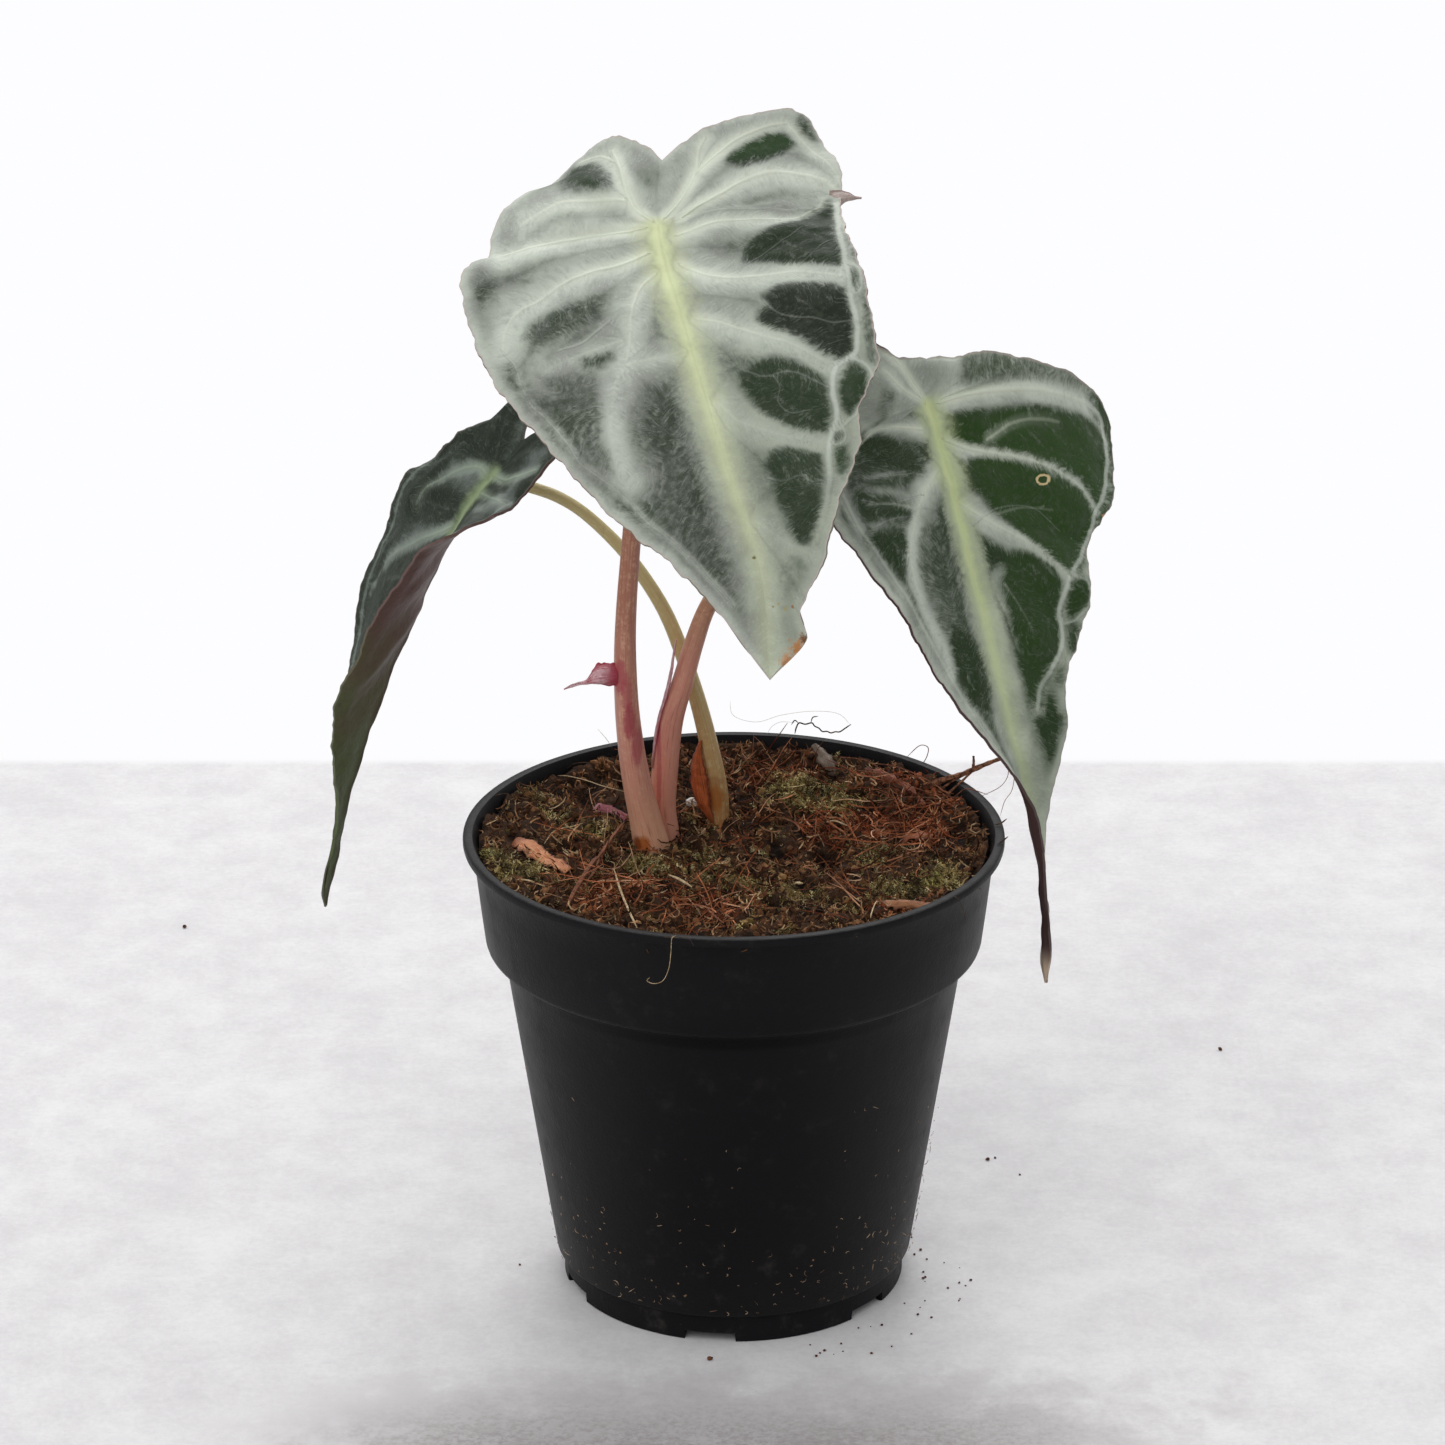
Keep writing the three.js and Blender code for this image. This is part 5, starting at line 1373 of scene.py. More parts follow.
def blade_sheet(blade, side, ribs, shares, lift):
    """Points of one half of a blade, for every rib and share, raised by the lift there."""
    place, across, wave = blade_flat(blade, side, ribs, shares)
    rows = along(blade["spine"], place)
    tangent = along(blade["spine"], place + 0.5)[..., :3] - along(blade["spine"], place - 0.5)[..., :3]
    tangent /= np.linalg.norm(tangent, axis=-1)[..., None]
    facing = rows[..., 3:6]
    facing = facing - tangent * (facing * tangent).sum(-1)[..., None]
    facing /= np.linalg.norm(facing, axis=-1)[..., None]
    sideways = np.cross(facing, tangent)
    start = np.radians(rows[..., 6 if side < 0 else 7])
    bend = np.radians(rows[..., 8 if side < 0 else 9]) / 40
    bend = np.where(np.abs(bend) < 1e-5, 1e-5, bend)
    out = (np.sin(start + bend * across) - np.sin(start)) / bend
    up = (np.cos(start) - np.cos(start + bend * across)) / bend
    quilt = (0.9 * np.sin(np.pi * ribs[:, None]) ** 2 * np.sin(np.pi * shares)
             * np.minimum(1, across / 12))
    sheet = rows[..., :3] + side * out[..., None] * sideways + (up + quilt + wave)[..., None] * facing
    if side > 0 and "ironed" in blade:
        sheet = ironed(sheet, ribs, shares, *blade["ironed"])
    return sheet + lift[..., None] * facing


def ironed(sheet, ribs, shares, low, high):
    """The sheet with a stretch of ribs laid smooth, where its inner side would fold."""
    first, last = np.where((ribs >= low) & (ribs <= high))[0][[0, -1]]
    stretch = sheet[first:last + 1]
    run = np.cumsum(np.linalg.norm(np.diff(stretch, axis=0, prepend=stretch[:1]), axis=-1), axis=0)
    t = (run / np.maximum(run[-1], 1e-9))[..., None]
    reach = np.linalg.norm(stretch[-1] - stretch[0], axis=-1)[:, None]
    leave, arrive = sheet[first] - sheet[first - 1], sheet[last + 1] - sheet[last]
    leave, arrive = (way / np.maximum(np.linalg.norm(way, axis=-1)[:, None], 1e-6) * reach * 0.8
                     for way in (leave, arrive))
    smooth = cubic(t, stretch[0], leave, stretch[-1], arrive)
    share = eased(np.clip((shares - 0.05) / 0.3, 0, 1))[:, None]
    sheet = sheet.copy()
    sheet[first:last + 1] = stretch + (smooth - stretch) * share
    return sheet


def even_ribs(blade, count):
    """Rib numbers that lie about evenly along the margins of both halves."""
    fine = np.linspace(0, 10, 2001)
    paces = 0
    for side in ("left", "right"):
        ends = along(blade[side], fine)[:, :2]
        paces = paces + np.linalg.norm(np.diff(ends, axis=0), axis=1)
    run = np.concatenate([[0], np.cumsum(paces + 0.002)])
    return np.interp(np.linspace(0, run[-1], count + 1), run, fine)


def half_faces(rows, columns, start, side):
    """Faces of a grid of points, looking up for that side of the midrib."""
    first = start + np.arange(rows - 1)[:, None] * columns + np.arange(columns - 1)
    quads = np.stack([first, first + columns, first + columns + 1, first + 1], -1).reshape(-1, 4)
    return quads[:, ::-1] if side < 0 else quads


def welded(points, quads):
    """The points with equal ones joined, and the quads without the corners that fall together."""
    keys = np.round(points, 3)
    _, first, back = np.unique(keys, axis=0, return_index=True, return_inverse=True)
    back = back.ravel()
    faces = []
    for quad in back[quads]:
        corners = [c for k, c in enumerate(quad) if c != quad[k - 1]]
        if len(set(corners)) > 2:
            faces.append(corners)
    return first, faces, back


def face_normals(points, faces):
    """Normals at the points, from the faces round them."""
    normals = np.zeros_like(points)
    corners = np.array([(f[0], f[k], f[k + 1]) for f in faces for k in range(1, len(f) - 1)])
    turns = np.cross(points[corners[:, 1]] - points[corners[:, 0]],
                     points[corners[:, 2]] - points[corners[:, 0]])
    for k in range(3):
        np.add.at(normals, corners[:, k], turns)
    lengths = np.linalg.norm(normals, axis=1)
    return normals / np.maximum(lengths, 1e-9)[:, None]


def waved(sheet, shares, side):
    """The sheet with small waves along its margin, outwards and up or down."""
    run = np.cumsum(np.linalg.norm(np.diff(sheet[:, -1], axis=0, prepend=sheet[:1, -1]), axis=-1))
    still = np.clip(np.minimum(run, run[-1] * 0.93 - run) / 6, 0, 1)
    outward = sheet[:, -1] - sheet[:, -3]
    outward /= np.maximum(np.linalg.norm(outward, axis=-1), 1e-6)[:, None]
    wave = [still * (np.sin(run / a + side) + 0.7 * np.sin(run / b + 2 * side) + 0.5 * np.sin(run / c))
            for a, b, c in ((1.5, 0.83, 0.41), (1.9, 0.97, 0.6))]
    step = outward * wave[0][:, None] * 0.2 + np.array([0, 0, 1]) * wave[1][:, None] * 0.12
    return sheet + step[:, None] * (shares**14)[:, None]


def blade_skin(blade, shares, lift):
    """One face of a blade: its points, faces, flat places, rib numbers and shares, and rim."""
    ribs = even_ribs(blade, BLADE_STEPS)
    points, places, quads = [], [], []
    size = len(ribs) * len(shares)
    for k, side in enumerate((-1, 1)):
        place, across, _ = blade_flat(blade, side, ribs, shares)
        flat = np.stack([place, side * across, np.broadcast_to(shares, place.shape),
                         np.broadcast_to(ribs[:, None], place.shape)], -1)
        sheet = blade_sheet(blade, side, ribs, shares, lift(flat))
        sheet = waved(sheet, shares, side)
        points.append(sheet.reshape(-1, 3))
        places.append(flat.reshape(-1, 4))
        quads.append(half_faces(len(ribs), len(shares), k * size, side))
    points, places, quads = np.vstack(points), np.vstack(places), np.vstack(quads)
    first, faces, back = welded(points, quads)
    left = back[np.arange(len(ribs)) * len(shares) + len(shares) - 1]
    right = back[size + np.arange(len(ribs)) * len(shares) + len(shares) - 1]
    rim = [*right, *left[-2:0:-1]]
    rim = [p for k, p in enumerate(rim) if p != rim[k - 1]]
    return points[first], faces, places[first], rim


def beside(places, a, b):
    """The way from a to b, each place's share along it, and the step from it to the place."""
    way = b - a
    share = np.clip((places - a) @ way / (way @ way), 0, 1)
    return way, share, places - a - share[:, None] * way


def near_lines(places, lines, width=3.0):
    """What the lines drawn on a blade are to flat places, as five lists.

    Distance to the nearest line, signed distance, its strength, the place along it, and the
    glow of all the lines: 1 on a strong line and fading to 0 with the given width."""
    best = np.full(len(places), 1e3)
    signed, strength, run, glow = best.copy(), best * 0, best * 0, best * 0
    for number, (side, weight, line) in enumerate(lines):
        points = smooth_route([(u, side * v) for u, v in line], 5)
        passed = 60.0 * number
        for a, b in zip(points, points[1:]):
            way, share, off = beside(places, a, b)
            gap = np.hypot(off[:, 0], off[:, 1])
            near = gap < best
            best[near] = gap[near]
            signed[near] = np.copysign(gap, way[0] * off[:, 1] - way[1] * off[:, 0])[near]
            strength[near] = weight
            run[near] = (passed + share * np.hypot(*way))[near]
            glow = np.maximum(glow, weight * np.exp(-((gap / width / (weight + 0.1)) ** 2)))
            passed += np.hypot(*way)
    return best, signed, strength, run, glow


def within(places, outline):
    """How deep flat places lie inside an outline; outside it the value is negative."""
    outline = np.array(outline, float)
    inside = np.zeros(len(places), bool)
    best = np.full(len(places), 1e3)
    for a, b in zip(outline, np.roll(outline, -1, axis=0)):
        way, _, off = beside(places, a, b)
        best = np.minimum(best, np.hypot(off[:, 0], off[:, 1]))
        crosses = (a[1] > places[:, 1]) != (b[1] > places[:, 1])
        rise = np.where(way[1] == 0, 1e-9, way[1])
        inside ^= crosses & (places[:, 0] < a[0] + (places[:, 1] - a[1]) * way[0] / rise)
    return np.where(inside, best, -best)


def patch_fields(places, ground, patches, grow, soft=(3.4, 2.4)):
    """How dark and how green the sheet is at flat places, from 0 to 1."""
    dark = np.full(len(places), float(ground))
    green = np.full(len(places), 0.3)
    for side, level, leafy, outline in patches:
        depth = within(places, [(u, side * v) for u, v in outline])
        share = eased(np.clip(0.5 + (depth + grow[side > 0]) / (2 * soft[side > 0]), 0, 1))
        if level > 0:
            dark = np.maximum(dark, share * level)
            green += (leafy - green) * share
        else:
            dark *= 1 + share * level
    return dark, green


# What is drawn on each blade, in its flat layout. Each vein is a side of the midrib, a strength
# and its course; each patch a side, how dark it is, how green, and its outline.
VEINS = {
    "front": [
        (1, 1, [(-1.8, 2), (-6, 5), (-12.3, 7.2), (-18.5, 7.7), (-20.6, 8.6)]),
        (1, 0.9, [(-12.7, 7.6), (-16.4, 11.1), (-21.5, 16), (-25, 21.1), (-27.6, 25.7)]),
        (1, 0.5, [(-26.7, 26.4), (-21.8, 31.1), (-17.4, 35.8), (-13.3, 38.6)]),
        (1, 1, [(-1.4, 5.2), (-7.4, 12.3), (-11.3, 17), (-13.8, 23), (-14.1, 29.8), (-13.8, 34.2),
                (-12.5, 38.3)]),
        (1, 0.8, [(3.6, 4), (2.8, 12.3), (3, 20.1), (2.9, 28.2), (-10.5, 34.7)]),
        (1, 1, [(11, 3.3), (17, 8.5), (19.1, 11.7), (20.9, 19.5), (22.6, 27.1), (26.1, 34.3)]),
        (1, 1, [(26.1, 3.3), (28.5, 7.7), (33.4, 13.4), (38.3, 20.3), (42.8, 24.4), (46.7, 27.6)]),
        (1, 0.9, [(46.4, 2.2), (51.7, 5), (55, 9.1), (58.7, 14.5), (62.6, 21)]),
        (1, 0.5, [(74.2, 2), (81.5, 7.4), (84.7, 11.9)]),
        (-1, 1, [(-1.3, 0.7), (-4, 4.4), (-8, 7.2), (-14.9, 10.4), (-18.5, 12.4)]),
        (-1, 0.6, [(-5.3, 6.7), (-5, 14.1), (-4.9, 20.7), (-3.3, 24.6), (-2.1, 28.3)]),
        (-1, 0.5, [(-14.9, 10.4), (-17.9, 15.5), (-17.7, 21.4)]),
        (-1, 0.9, [(0.3, 2.4), (0.6, 8.8), (0.9, 16.2), (1.6, 24.8), (2.3, 33)]),
        (-1, 1, [(6.7, 2.9), (9, 10.2), (10.1, 16.9), (11.2, 21.4), (14.3, 27.5), (16, 32.8),
                 (19.9, 36.4), (24.1, 38)]),
        (-1, 0.8, [(12.1, 2.3), (15.5, 6.4), (21.6, 9.6), (27.8, 11.6), (34.2, 14.2), (38.6, 17.6),
                   (43.9, 19.6), (49.1, 21.1), (54.4, 20.9), (57.8, 20.8)]),
        (-1, 0.4, [(28.2, 13.4), (29.7, 20.6), (30.9, 26.2), (31.8, 30.2)]),
        (-1, 0.4, [(34.2, 14.2), (33.9, 5.6), (33.1, 0.8)]),
    ],
    "right": [
        (1, 1, [(0.7, 2.5), (1.5, 8.8), (3.3, 17.6), (5.9, 29.6), (8.2, 38.5), (9.4, 43.2)]),
        (1, 1, [(8.5, 1.3), (12, 7), (16, 19.5), (19.6, 28.2), (23.7, 34.5), (29.1, 37.3)]),
        (1, 0.5, [(10.8, 11.1), (9.2, 19.3), (9.8, 26.1), (11, 31.8)]),
        (1, 1, [(22.8, 1.6), (27.4, 7.3), (33.6, 14.7), (39.8, 20.4), (44.5, 23.7)]),
        (1, 0.3, [(26.2, 9.4), (25.6, 16.7), (27.3, 24)]),
        (1, 0.4, [(42, 6.8), (48.6, 9.3), (53.6, 10.4)]),
        (-1, 1, [(-1, 0.6), (-7.9, 0.6), (-14.8, 1.1), (-18.5, 1.3)]),
        (-1, 0.7, [(-1.1, 0.6), (-8.2, 4.1), (-14.5, 4.9)]),
        (-1, 0.7, [(4.4, 4.1), (0.3, 10.5), (-4.4, 16), (-1.9, 20.5)]),
        (-1, 1, [(15.4, 3), (20.1, 9.4), (26.9, 14.2), (33.1, 17), (38.4, 17.3), (46, 15.8),
                 (52.2, 13.5), (57.4, 13.3)]),
        (-1, 0.4, [(22.8, 11.1), (20.5, 19.2), (20.1, 24.5)]),
    ],
    "left": [
        (-1, 0.7, [(1.6, 0.7), (1.2, 4.3), (3.7, 8.5), (9.3, 13.4), (15.4, 17)]),
        (-1, 0.8, [(15, 2), (19.2, 7), (24.9, 14.4), (30, 20.2), (36.1, 22.8), (40.3, 23.4)]),
        (-1, 0.5, [(34, 3), (42, 9), (50, 14), (58, 15.5)]),
        (1, 0.8, [(0.2, 0.6), (-1.6, 6.1), (-5.1, 10.3), (-9.3, 12.5)]),
        (1, 0.6, [(5, 1.4), (3.4, 10.2), (2, 15.4)]),
        (1, 0.6, [(16, 1.5), (22, 8), (28, 14)]),
        (1, 0.6, [(34, 1.5), (42, 7), (50, 12)]),
    ],
}
EDGE_VEINS = {
    "front": [
        (1, 1, [(-8.6, 36.7), (15.7, 37), (24.8, 36.2), (32, 35.2), (38.4, 34.7), (44.1, 32.7),
                (46.3, 28.2), (50.9, 25.8), (57.7, 24.9), (60.3, 23.1), (66.3, 20.8), (71.8, 19.3),
                (77.2, 16.3), (82.1, 13)]),
        (1, 0.7, [(26.1, 34.3), (23.8, 35.8), (24.4, 37.8), (27.5, 38.4), (30.6, 37), (30.2, 35)]),
        (1, 0.7, [(45.5, 28.2), (45.3, 31.5), (48.2, 34.4), (53, 34), (57.5, 30.5), (60.3, 24.3)]),
        (1, 0.5, [(59.4, 23), (59.7, 25), (62, 25.6), (64, 24.2), (63.4, 22)]),
        (1, 0.35, [(17, 16.1), (15.8, 19.6), (13.6, 23.4), (11.3, 27), (7.9, 29.7)]),
        (1, 0.3, [(20.9, 27.1), (18.9, 30.2), (17, 32.3), (15.2, 35.3)]),
        (1, 0.4, [(26.7, 17.3), (30.7, 19.7), (32.9, 23.2), (34.2, 26.7), (36.4, 30.5), (36.8, 33.6)]),
        (1, 0.4, [(41.9, 9.6), (44.6, 13.1), (45, 17.3), (46.5, 20.2), (48.9, 22.7), (50.8, 24.9)]),
        (1, 0.35, [(44.6, 14.7), (47.8, 15.5), (50.2, 14.3), (53.6, 16), (54.4, 20)]),
        (1, 0.4, [(66.5, 7.4), (68.7, 10.4), (69, 13.6), (71.2, 15.5), (71.6, 17.6)]),
        (-1, 0.5, [(28.1, 26.6), (27.4, 22.2), (25, 18), (23.1, 14.7)]),
        (-1, 0.4, [(24.1, 38), (28.8, 36.3), (34.2, 36.2), (38.5, 35.2), (42.4, 33.1), (47.9, 30.7),
                   (53.4, 29.1), (57.7, 25.7), (62.2, 22.2), (67.8, 19.8), (75.6, 15.4), (85.1, 10.6),
                   (91.5, 6.9)]),
    ],
    "right": [
        (1, 1, [(9.2, 43.4), (11.6, 47.4), (15, 46.6), (19.5, 44.8), (25.9, 40.6), (30.2, 36.9),
                (36.6, 34.1), (41.1, 29.1), (43.5, 24.6)]),
        (1, 1, [(44.5, 23.7), (50.6, 20), (57.3, 18.4), (61.4, 14.3), (65.7, 10.2), (69.8, 7.8)]),
        (1, 0.6, [(44.5, 25), (46.5, 28.2), (50, 27.5), (53.6, 23.6), (54, 19.8)]),
        (1, 0.35, [(27.7, 3.4), (25.5, 7.7), (24.9, 13.1), (26.2, 19.6), (32.9, 25.2)]),
        (-1, 0.35, [(18.7, 25.6), (20.7, 20), (20.2, 14.3), (19.7, 9.3)]),
        (-1, 0.35, [(25.1, 25.2), (24, 19.8), (23.9, 15.5)]),
        (-1, 0.3, [(13.1, 22.1), (13.3, 17.6), (13.6, 12.2)]),
        (-1, 0.7, [(4, 26.5), (14, 29.5), (24, 29), (34, 23.5), (44, 19), (54, 15), (64, 11.5), (74, 8.5)]),
    ],
    "left": [
        (-1, 0.8, [(5, 19.5), (15, 23.6), (26, 25.6), (36, 26.2), (46, 24.6), (56, 18.8), (66, 13.8),
                   (76, 8)]),
        (1, 0.8, [(0, 15.4), (10, 20.5), (18, 22.8), (30, 19.6), (44, 16.8), (56, 14.8), (66, 10.6)]),
    ],
}
PATCHES = {
    "front": [
        (1, 0.95, 0.9, [(-15.2, 13.4), (-18.2, 14.8), (-21.4, 18.2), (-24, 21.4), (-24.9, 24.8),
                        (-22.5, 27.2), (-18.9, 25), (-16.1, 21.8), (-14, 17)]),
        (1, 0.7, 0.5, [(-27.3, 26.4), (-30.2, 28.5), (-27.6, 30.5), (-24.6, 32.1), (-25.1, 28.7)]),
        (1, 0.4, 0.2, [(-14.1, 13.4), (-16.8, 21.7), (-20.1, 29), (-16.9, 31.9), (-15.5, 28.2),
                       (-13.7, 21.9), (-12.8, 14.1)]),
        (1, 0.42, 0.5, [(-7.3, 17.6), (-10, 22.5), (-12.4, 26.4), (-13, 33.9), (-10.9, 32), (-9.1, 28),
                        (-8.3, 23.9), (-5, 18.9)]),
        (1, 0.97, 0.25, [(12.5, 17.4), (10.4, 19.7), (8.3, 22.7), (5.7, 25.2), (3.5, 28.7),
                         (-8.1, 32.4), (-10.4, 35.6), (3.4, 36.7), (13.8, 36.8), (19.1, 36.8),
                         (23, 35.8), (23.6, 34.5), (21.9, 30.1), (19.8, 25.2), (17.5, 20.3),
                         (16, 16.4)]),
        (1, 0.95, 0.1, [(26.4, 18.1), (24.7, 21.2), (25.5, 26.4), (27, 33), (29.9, 34.8), (33.9, 34.6),
                        (38.2, 34), (43.9, 32.2), (45.4, 29.3), (43.9, 26.3), (40.8, 23.9),
                        (37.7, 22.1), (35.2, 20), (32.7, 16.4), (30.4, 15.3), (28.4, 18.6)]),
        (1, 0.8, 0.4, [(42.2, 8.4), (41.4, 11.9), (41, 16.3), (42.9, 20.1), (46.4, 23.4), (49.3, 25.2),
                        (53.7, 25), (57, 24.2), (60.1, 22.7), (59.9, 19.5), (56.9, 15), (52, 11),
                        (47.8, 9), (45, 7.9)]),
        (1, 0.76, 0.35, [(61.1, 10), (60.4, 13.4), (63.1, 16.5), (65.7, 19.3), (69.4, 19.2), (74, 17.7),
                         (77.1, 16.1), (80.4, 13.6), (82.2, 11.5), (81.7, 8.9), (79.2, 8.1),
                         (75.4, 8.2), (71.8, 7.8), (66.3, 7.4), (63.4, 7.7)]),
        (1, 0.35, 0.3, [(83.4, 6.9), (83.6, 9.5), (86.1, 9.9), (88.4, 7.8), (86.2, 6.2)]),
        (1, 0.9, 0.6, [(25.9, 35.6), (24.9, 36.8), (26.5, 37.7), (28.8, 37.4), (30.3, 36.3),
                       (29.1, 35.3), (27.6, 35)]),
        (1, 0.92, 0.45, [(47.6, 28.4), (46.3, 31.5), (48.8, 33.4), (52.1, 33.1), (55.6, 30.9),
                         (58.2, 27.5), (55.3, 26.2), (51.3, 26.8)]),
        (1, 0.8, 0.2, [(60.3, 23.1), (60.2, 24), (61.7, 24.6), (63.2, 23.9), (62.7, 22.8)]),
        (1, 0.75, 0.6, [(64.3, 22.4), (64.6, 24.7), (68.4, 24.3), (71.7, 22), (70.1, 20.9),
                        (67.1, 21.3)]),
        (1, 0.6, 0.3, [(-10, 37.6), (16.3, 39), (25.6, 39.3), (33, 38.6), (42.3, 37.2), (48.7, 35.9),
                       (47.1, 34.7), (38.8, 35.8), (31.9, 37.3), (25.3, 38.3), (19.2, 37.2),
                       (9.6, 37)]),
        (-1, 0.78, 0.4, [(-11.2, 23.8), (-16.5, 23.1), (-16.6, 18.6), (-14.7, 14.6), (-11.7, 10.8),
                          (-9, 9.3), (-7.2, 9.7), (-6.7, 12.3), (-7, 16.9), (-8.1, 20.8)]),
        (-1, 0.51, 0.75, [(-13, 7.3), (-13.1, 5.3), (-10.9, 2.2), (-9.3, 1.3), (-8, 2.8), (-8, 5),
                          (-9.6, 6.5)]),
        (-1, 0.5, 0.3, [(16, 39.6), (22, 40.4), (30, 38.8), (40, 36.2), (50, 31.8), (58, 27.6), (66, 22.6),
                        (74, 18.4), (74, 16), (64, 20.6), (54, 28), (44, 32), (32, 35.4), (20, 37.4)]),
        (-1, 0.41, 0.35, [(-1.9, 25), (-2.6, 21.8), (-3, 17.6), (-2.1, 14.3), (-1.3, 14.9), (-1.2, 19.1),
                         (-0.8, 23.4)]),
        (-1, 0.27, 0.1, [(5.6, 25.5), (4.5, 20), (4.5, 12.5), (7.3, 12.6), (8.4, 20.8), (7.6, 25.9)]),
        (-1, 0.51, 0.2, [(7.9, 34.5), (7.5, 32.8), (9, 29.9), (9.5, 27.4), (10.4, 27.1), (10.7, 30.3),
                         (9.8, 33.9)]),
        (-1, 0.37, 0.1, [(10.7, 39.9), (12.4, 35.5), (15, 32.4), (15, 36.7), (13, 40)]),
        (-1, 0.59, 0.25, [(19.6, 31.5), (17.2, 27.1), (16.3, 22.6), (16.5, 18.4), (18.8, 16.8),
                          (21.1, 20.6), (23, 25.9), (25.8, 30.3), (23, 32.9)]),
        (-1, 0.49, 0.2, [(26.8, 26.8), (24.6, 22.6), (23.4, 18), (24.4, 16.6), (26.6, 19.9),
                        (28.2, 24.5), (29, 28.9)]),
        (-1, 0.67, 0.3, [(30.8, 23), (30.6, 19.7), (30.8, 16.1), (32.7, 15.9), (33.3, 18.8),
                         (33.1, 22.5)]),
        (-1, 0.51, 0.25, [(33.1, 32.1), (32.7, 27.7), (34, 23.3), (35.9, 20), (40, 19.5), (43.9, 19.8),
                          (47.7, 20.6), (53.1, 21.6), (58, 22.3), (57.3, 25.4), (53.3, 27.5),
                          (48.5, 28.8), (43.7, 30.1), (38.9, 31.5)]),
        (-1, 0.41, 0.15, [(44, 17.2), (41.4, 13), (43.6, 8.2), (47.8, 4.6), (54, 5.3), (58.7, 5),
                         (64.4, 4.9), (70, 5.6), (76.3, 6.6), (77.8, 10), (73.6, 12), (69.3, 14.4),
                         (64.5, 15.4), (60.2, 15.6), (55.4, 19), (49.3, 18.4)]),
        (-1, 0.5, 0.2, [(54.3, 10.2), (56.6, 6.6), (61.5, 5.3), (65.5, 5), (71.7, 5.9), (76.8, 6.9),
                        (76.9, 10), (72.8, 11.7), (67.6, 12.2), (62.3, 13.6), (57.5, 12.7)]),
        (-1, 0.37, 0.2, [(79.2, 9.3), (82.3, 6.8), (87.3, 4.7), (90.1, 4.5), (86.4, 7.1), (82.3, 9.5)]),
        (-1, 0.37, 0.1, [(16.2, 39.2), (23.8, 38.9), (28, 36.7), (32.8, 35.4), (37, 34.7), (34.4, 36.1),
                         (29.7, 38.1), (25.5, 39.9)]),
    ],
    "right": [
        (1, 0.97, 0.95, [(7, 3.9), (6.5, 7.2), (7.3, 13.3), (8.4, 22.6), (10.3, 31.1), (12.3, 40.4),
                         (14.9, 45), (20.8, 44.3), (27.7, 40.7), (28.9, 38.6), (23.9, 36.7),
                         (19.9, 31.3), (16.8, 25.1), (15.2, 19.7), (13.2, 12.9), (10.9, 6.5),
                         (8.8, 3.7)]),
        (1, 0.95, 0.85, [(14.2, 9), (15.7, 15.8), (18, 23.7), (21.4, 30.8), (25.6, 36.1), (30.1, 36.8),
                         (37.4, 33.8), (42.3, 27.5), (43, 24.3), (40, 21.4), (35.8, 17.9),
                         (30.5, 14.6), (28.1, 12.4), (25, 9.6), (19.9, 7), (15.5, 6.4)]),
        (1, 0.9, 0.7, [(36.6, 11.1), (38.1, 15.3), (42.1, 19.7), (46.9, 20.7), (52.7, 19.2),
                       (58.1, 16.2), (63.9, 11.9), (69.1, 9.1), (68.6, 7.3), (64.8, 7), (58.7, 7),
                       (52.7, 7), (47.5, 7.3), (42.2, 7.2)]),
        (1, 0.9, 0.6, [(46, 23.9), (46.5, 27), (48.2, 27.5), (50.8, 25.3), (52.7, 22.5), (49.7, 22.3)]),
        (1, 0.75, 0.4, [(53.8, 21.8), (56.3, 22.6), (59.4, 20.9), (58.9, 19.2), (54.6, 20.6)]),
        (1, 0.8, 0.7, [(9.3, 44.6), (9.8, 49.8), (12.3, 51.2), (20, 49), (30, 42.5), (36, 37), (34, 37),
                       (28, 41.5), (21, 45.8), (15, 48.1), (12, 47.1)]),
        (1, 0.6, 0.3, [(71.4, 7), (71.7, 11.3), (73.5, 12.7), (76.3, 11), (78.4, 7.8), (76.5, 6)]),
        (1, 0.6, 0.5, [(60.5, 13.6), (61, 15.3), (64.9, 14.1), (64.9, 12.7)]),
        (1, 0.5, 0.4, [(-2.8, 13.3), (-0.8, 21.3), (1.6, 27.8), (4.6, 36.8), (7.4, 44.4), (9.2, 48.9),
                       (9.1, 44.1), (6.6, 34.9), (4.4, 25.2), (2.4, 16.1), (0.1, 10.6)]),
        (-1, 0.75, 0.25, [(-5.8, 18.8), (1.2, 14.7), (6.2, 9.7), (10.5, 7.3), (13.9, 7.5), (14.3, 12.4),
                          (11.6, 18.1), (13.1, 24), (7.9, 24)]),
        (-1, 0.8, 0.3, [(15.1, 26.9), (18.2, 23), (20.4, 16.3), (23.5, 12), (24.7, 14.8), (24.4, 20.5),
                        (23.4, 26.7), (19.6, 28)]),
        (-1, 0.85, 0.3, [(26.7, 28), (25.9, 23), (26.9, 17.5), (29.4, 16.3), (32.9, 18.2), (35.2, 20.9),
                         (31.6, 23.9), (28.5, 26.9)]),
        (-1, 0.5, 0.2, [(26.5, 11.4), (23.7, 6.6), (26.6, 3.4), (32.4, 3.2), (38.2, 3.3), (44.7, 4.6),
                        (48.3, 4.9), (52.9, 4.4), (58.8, 4.5), (67.1, 7.1), (62.5, 10.5), (54.5, 13.4),
                        (46.3, 14.3), (40.1, 15.9), (34.5, 15.6)]),
        (-1, 0.85, 0.25, [(47.2, 10.3), (50.4, 5.6), (55.2, 4.2), (61.8, 4.5), (66.9, 6.6), (63.7, 10),
                          (57.3, 12.4), (52.5, 12.7)]),
        (-1, 0.6, 0.2, [(36.8, 21.1), (40, 18.1), (45.6, 15.6), (49.8, 14.6), (48.2, 16.9),
                        (42.9, 20.1)]),
        (-1, 0.5, 0.3, [(-11.7, 8), (-9.4, 6.9), (-6.9, 10.7), (-5, 15.2), (-9.1, 11.5)]),
    ],
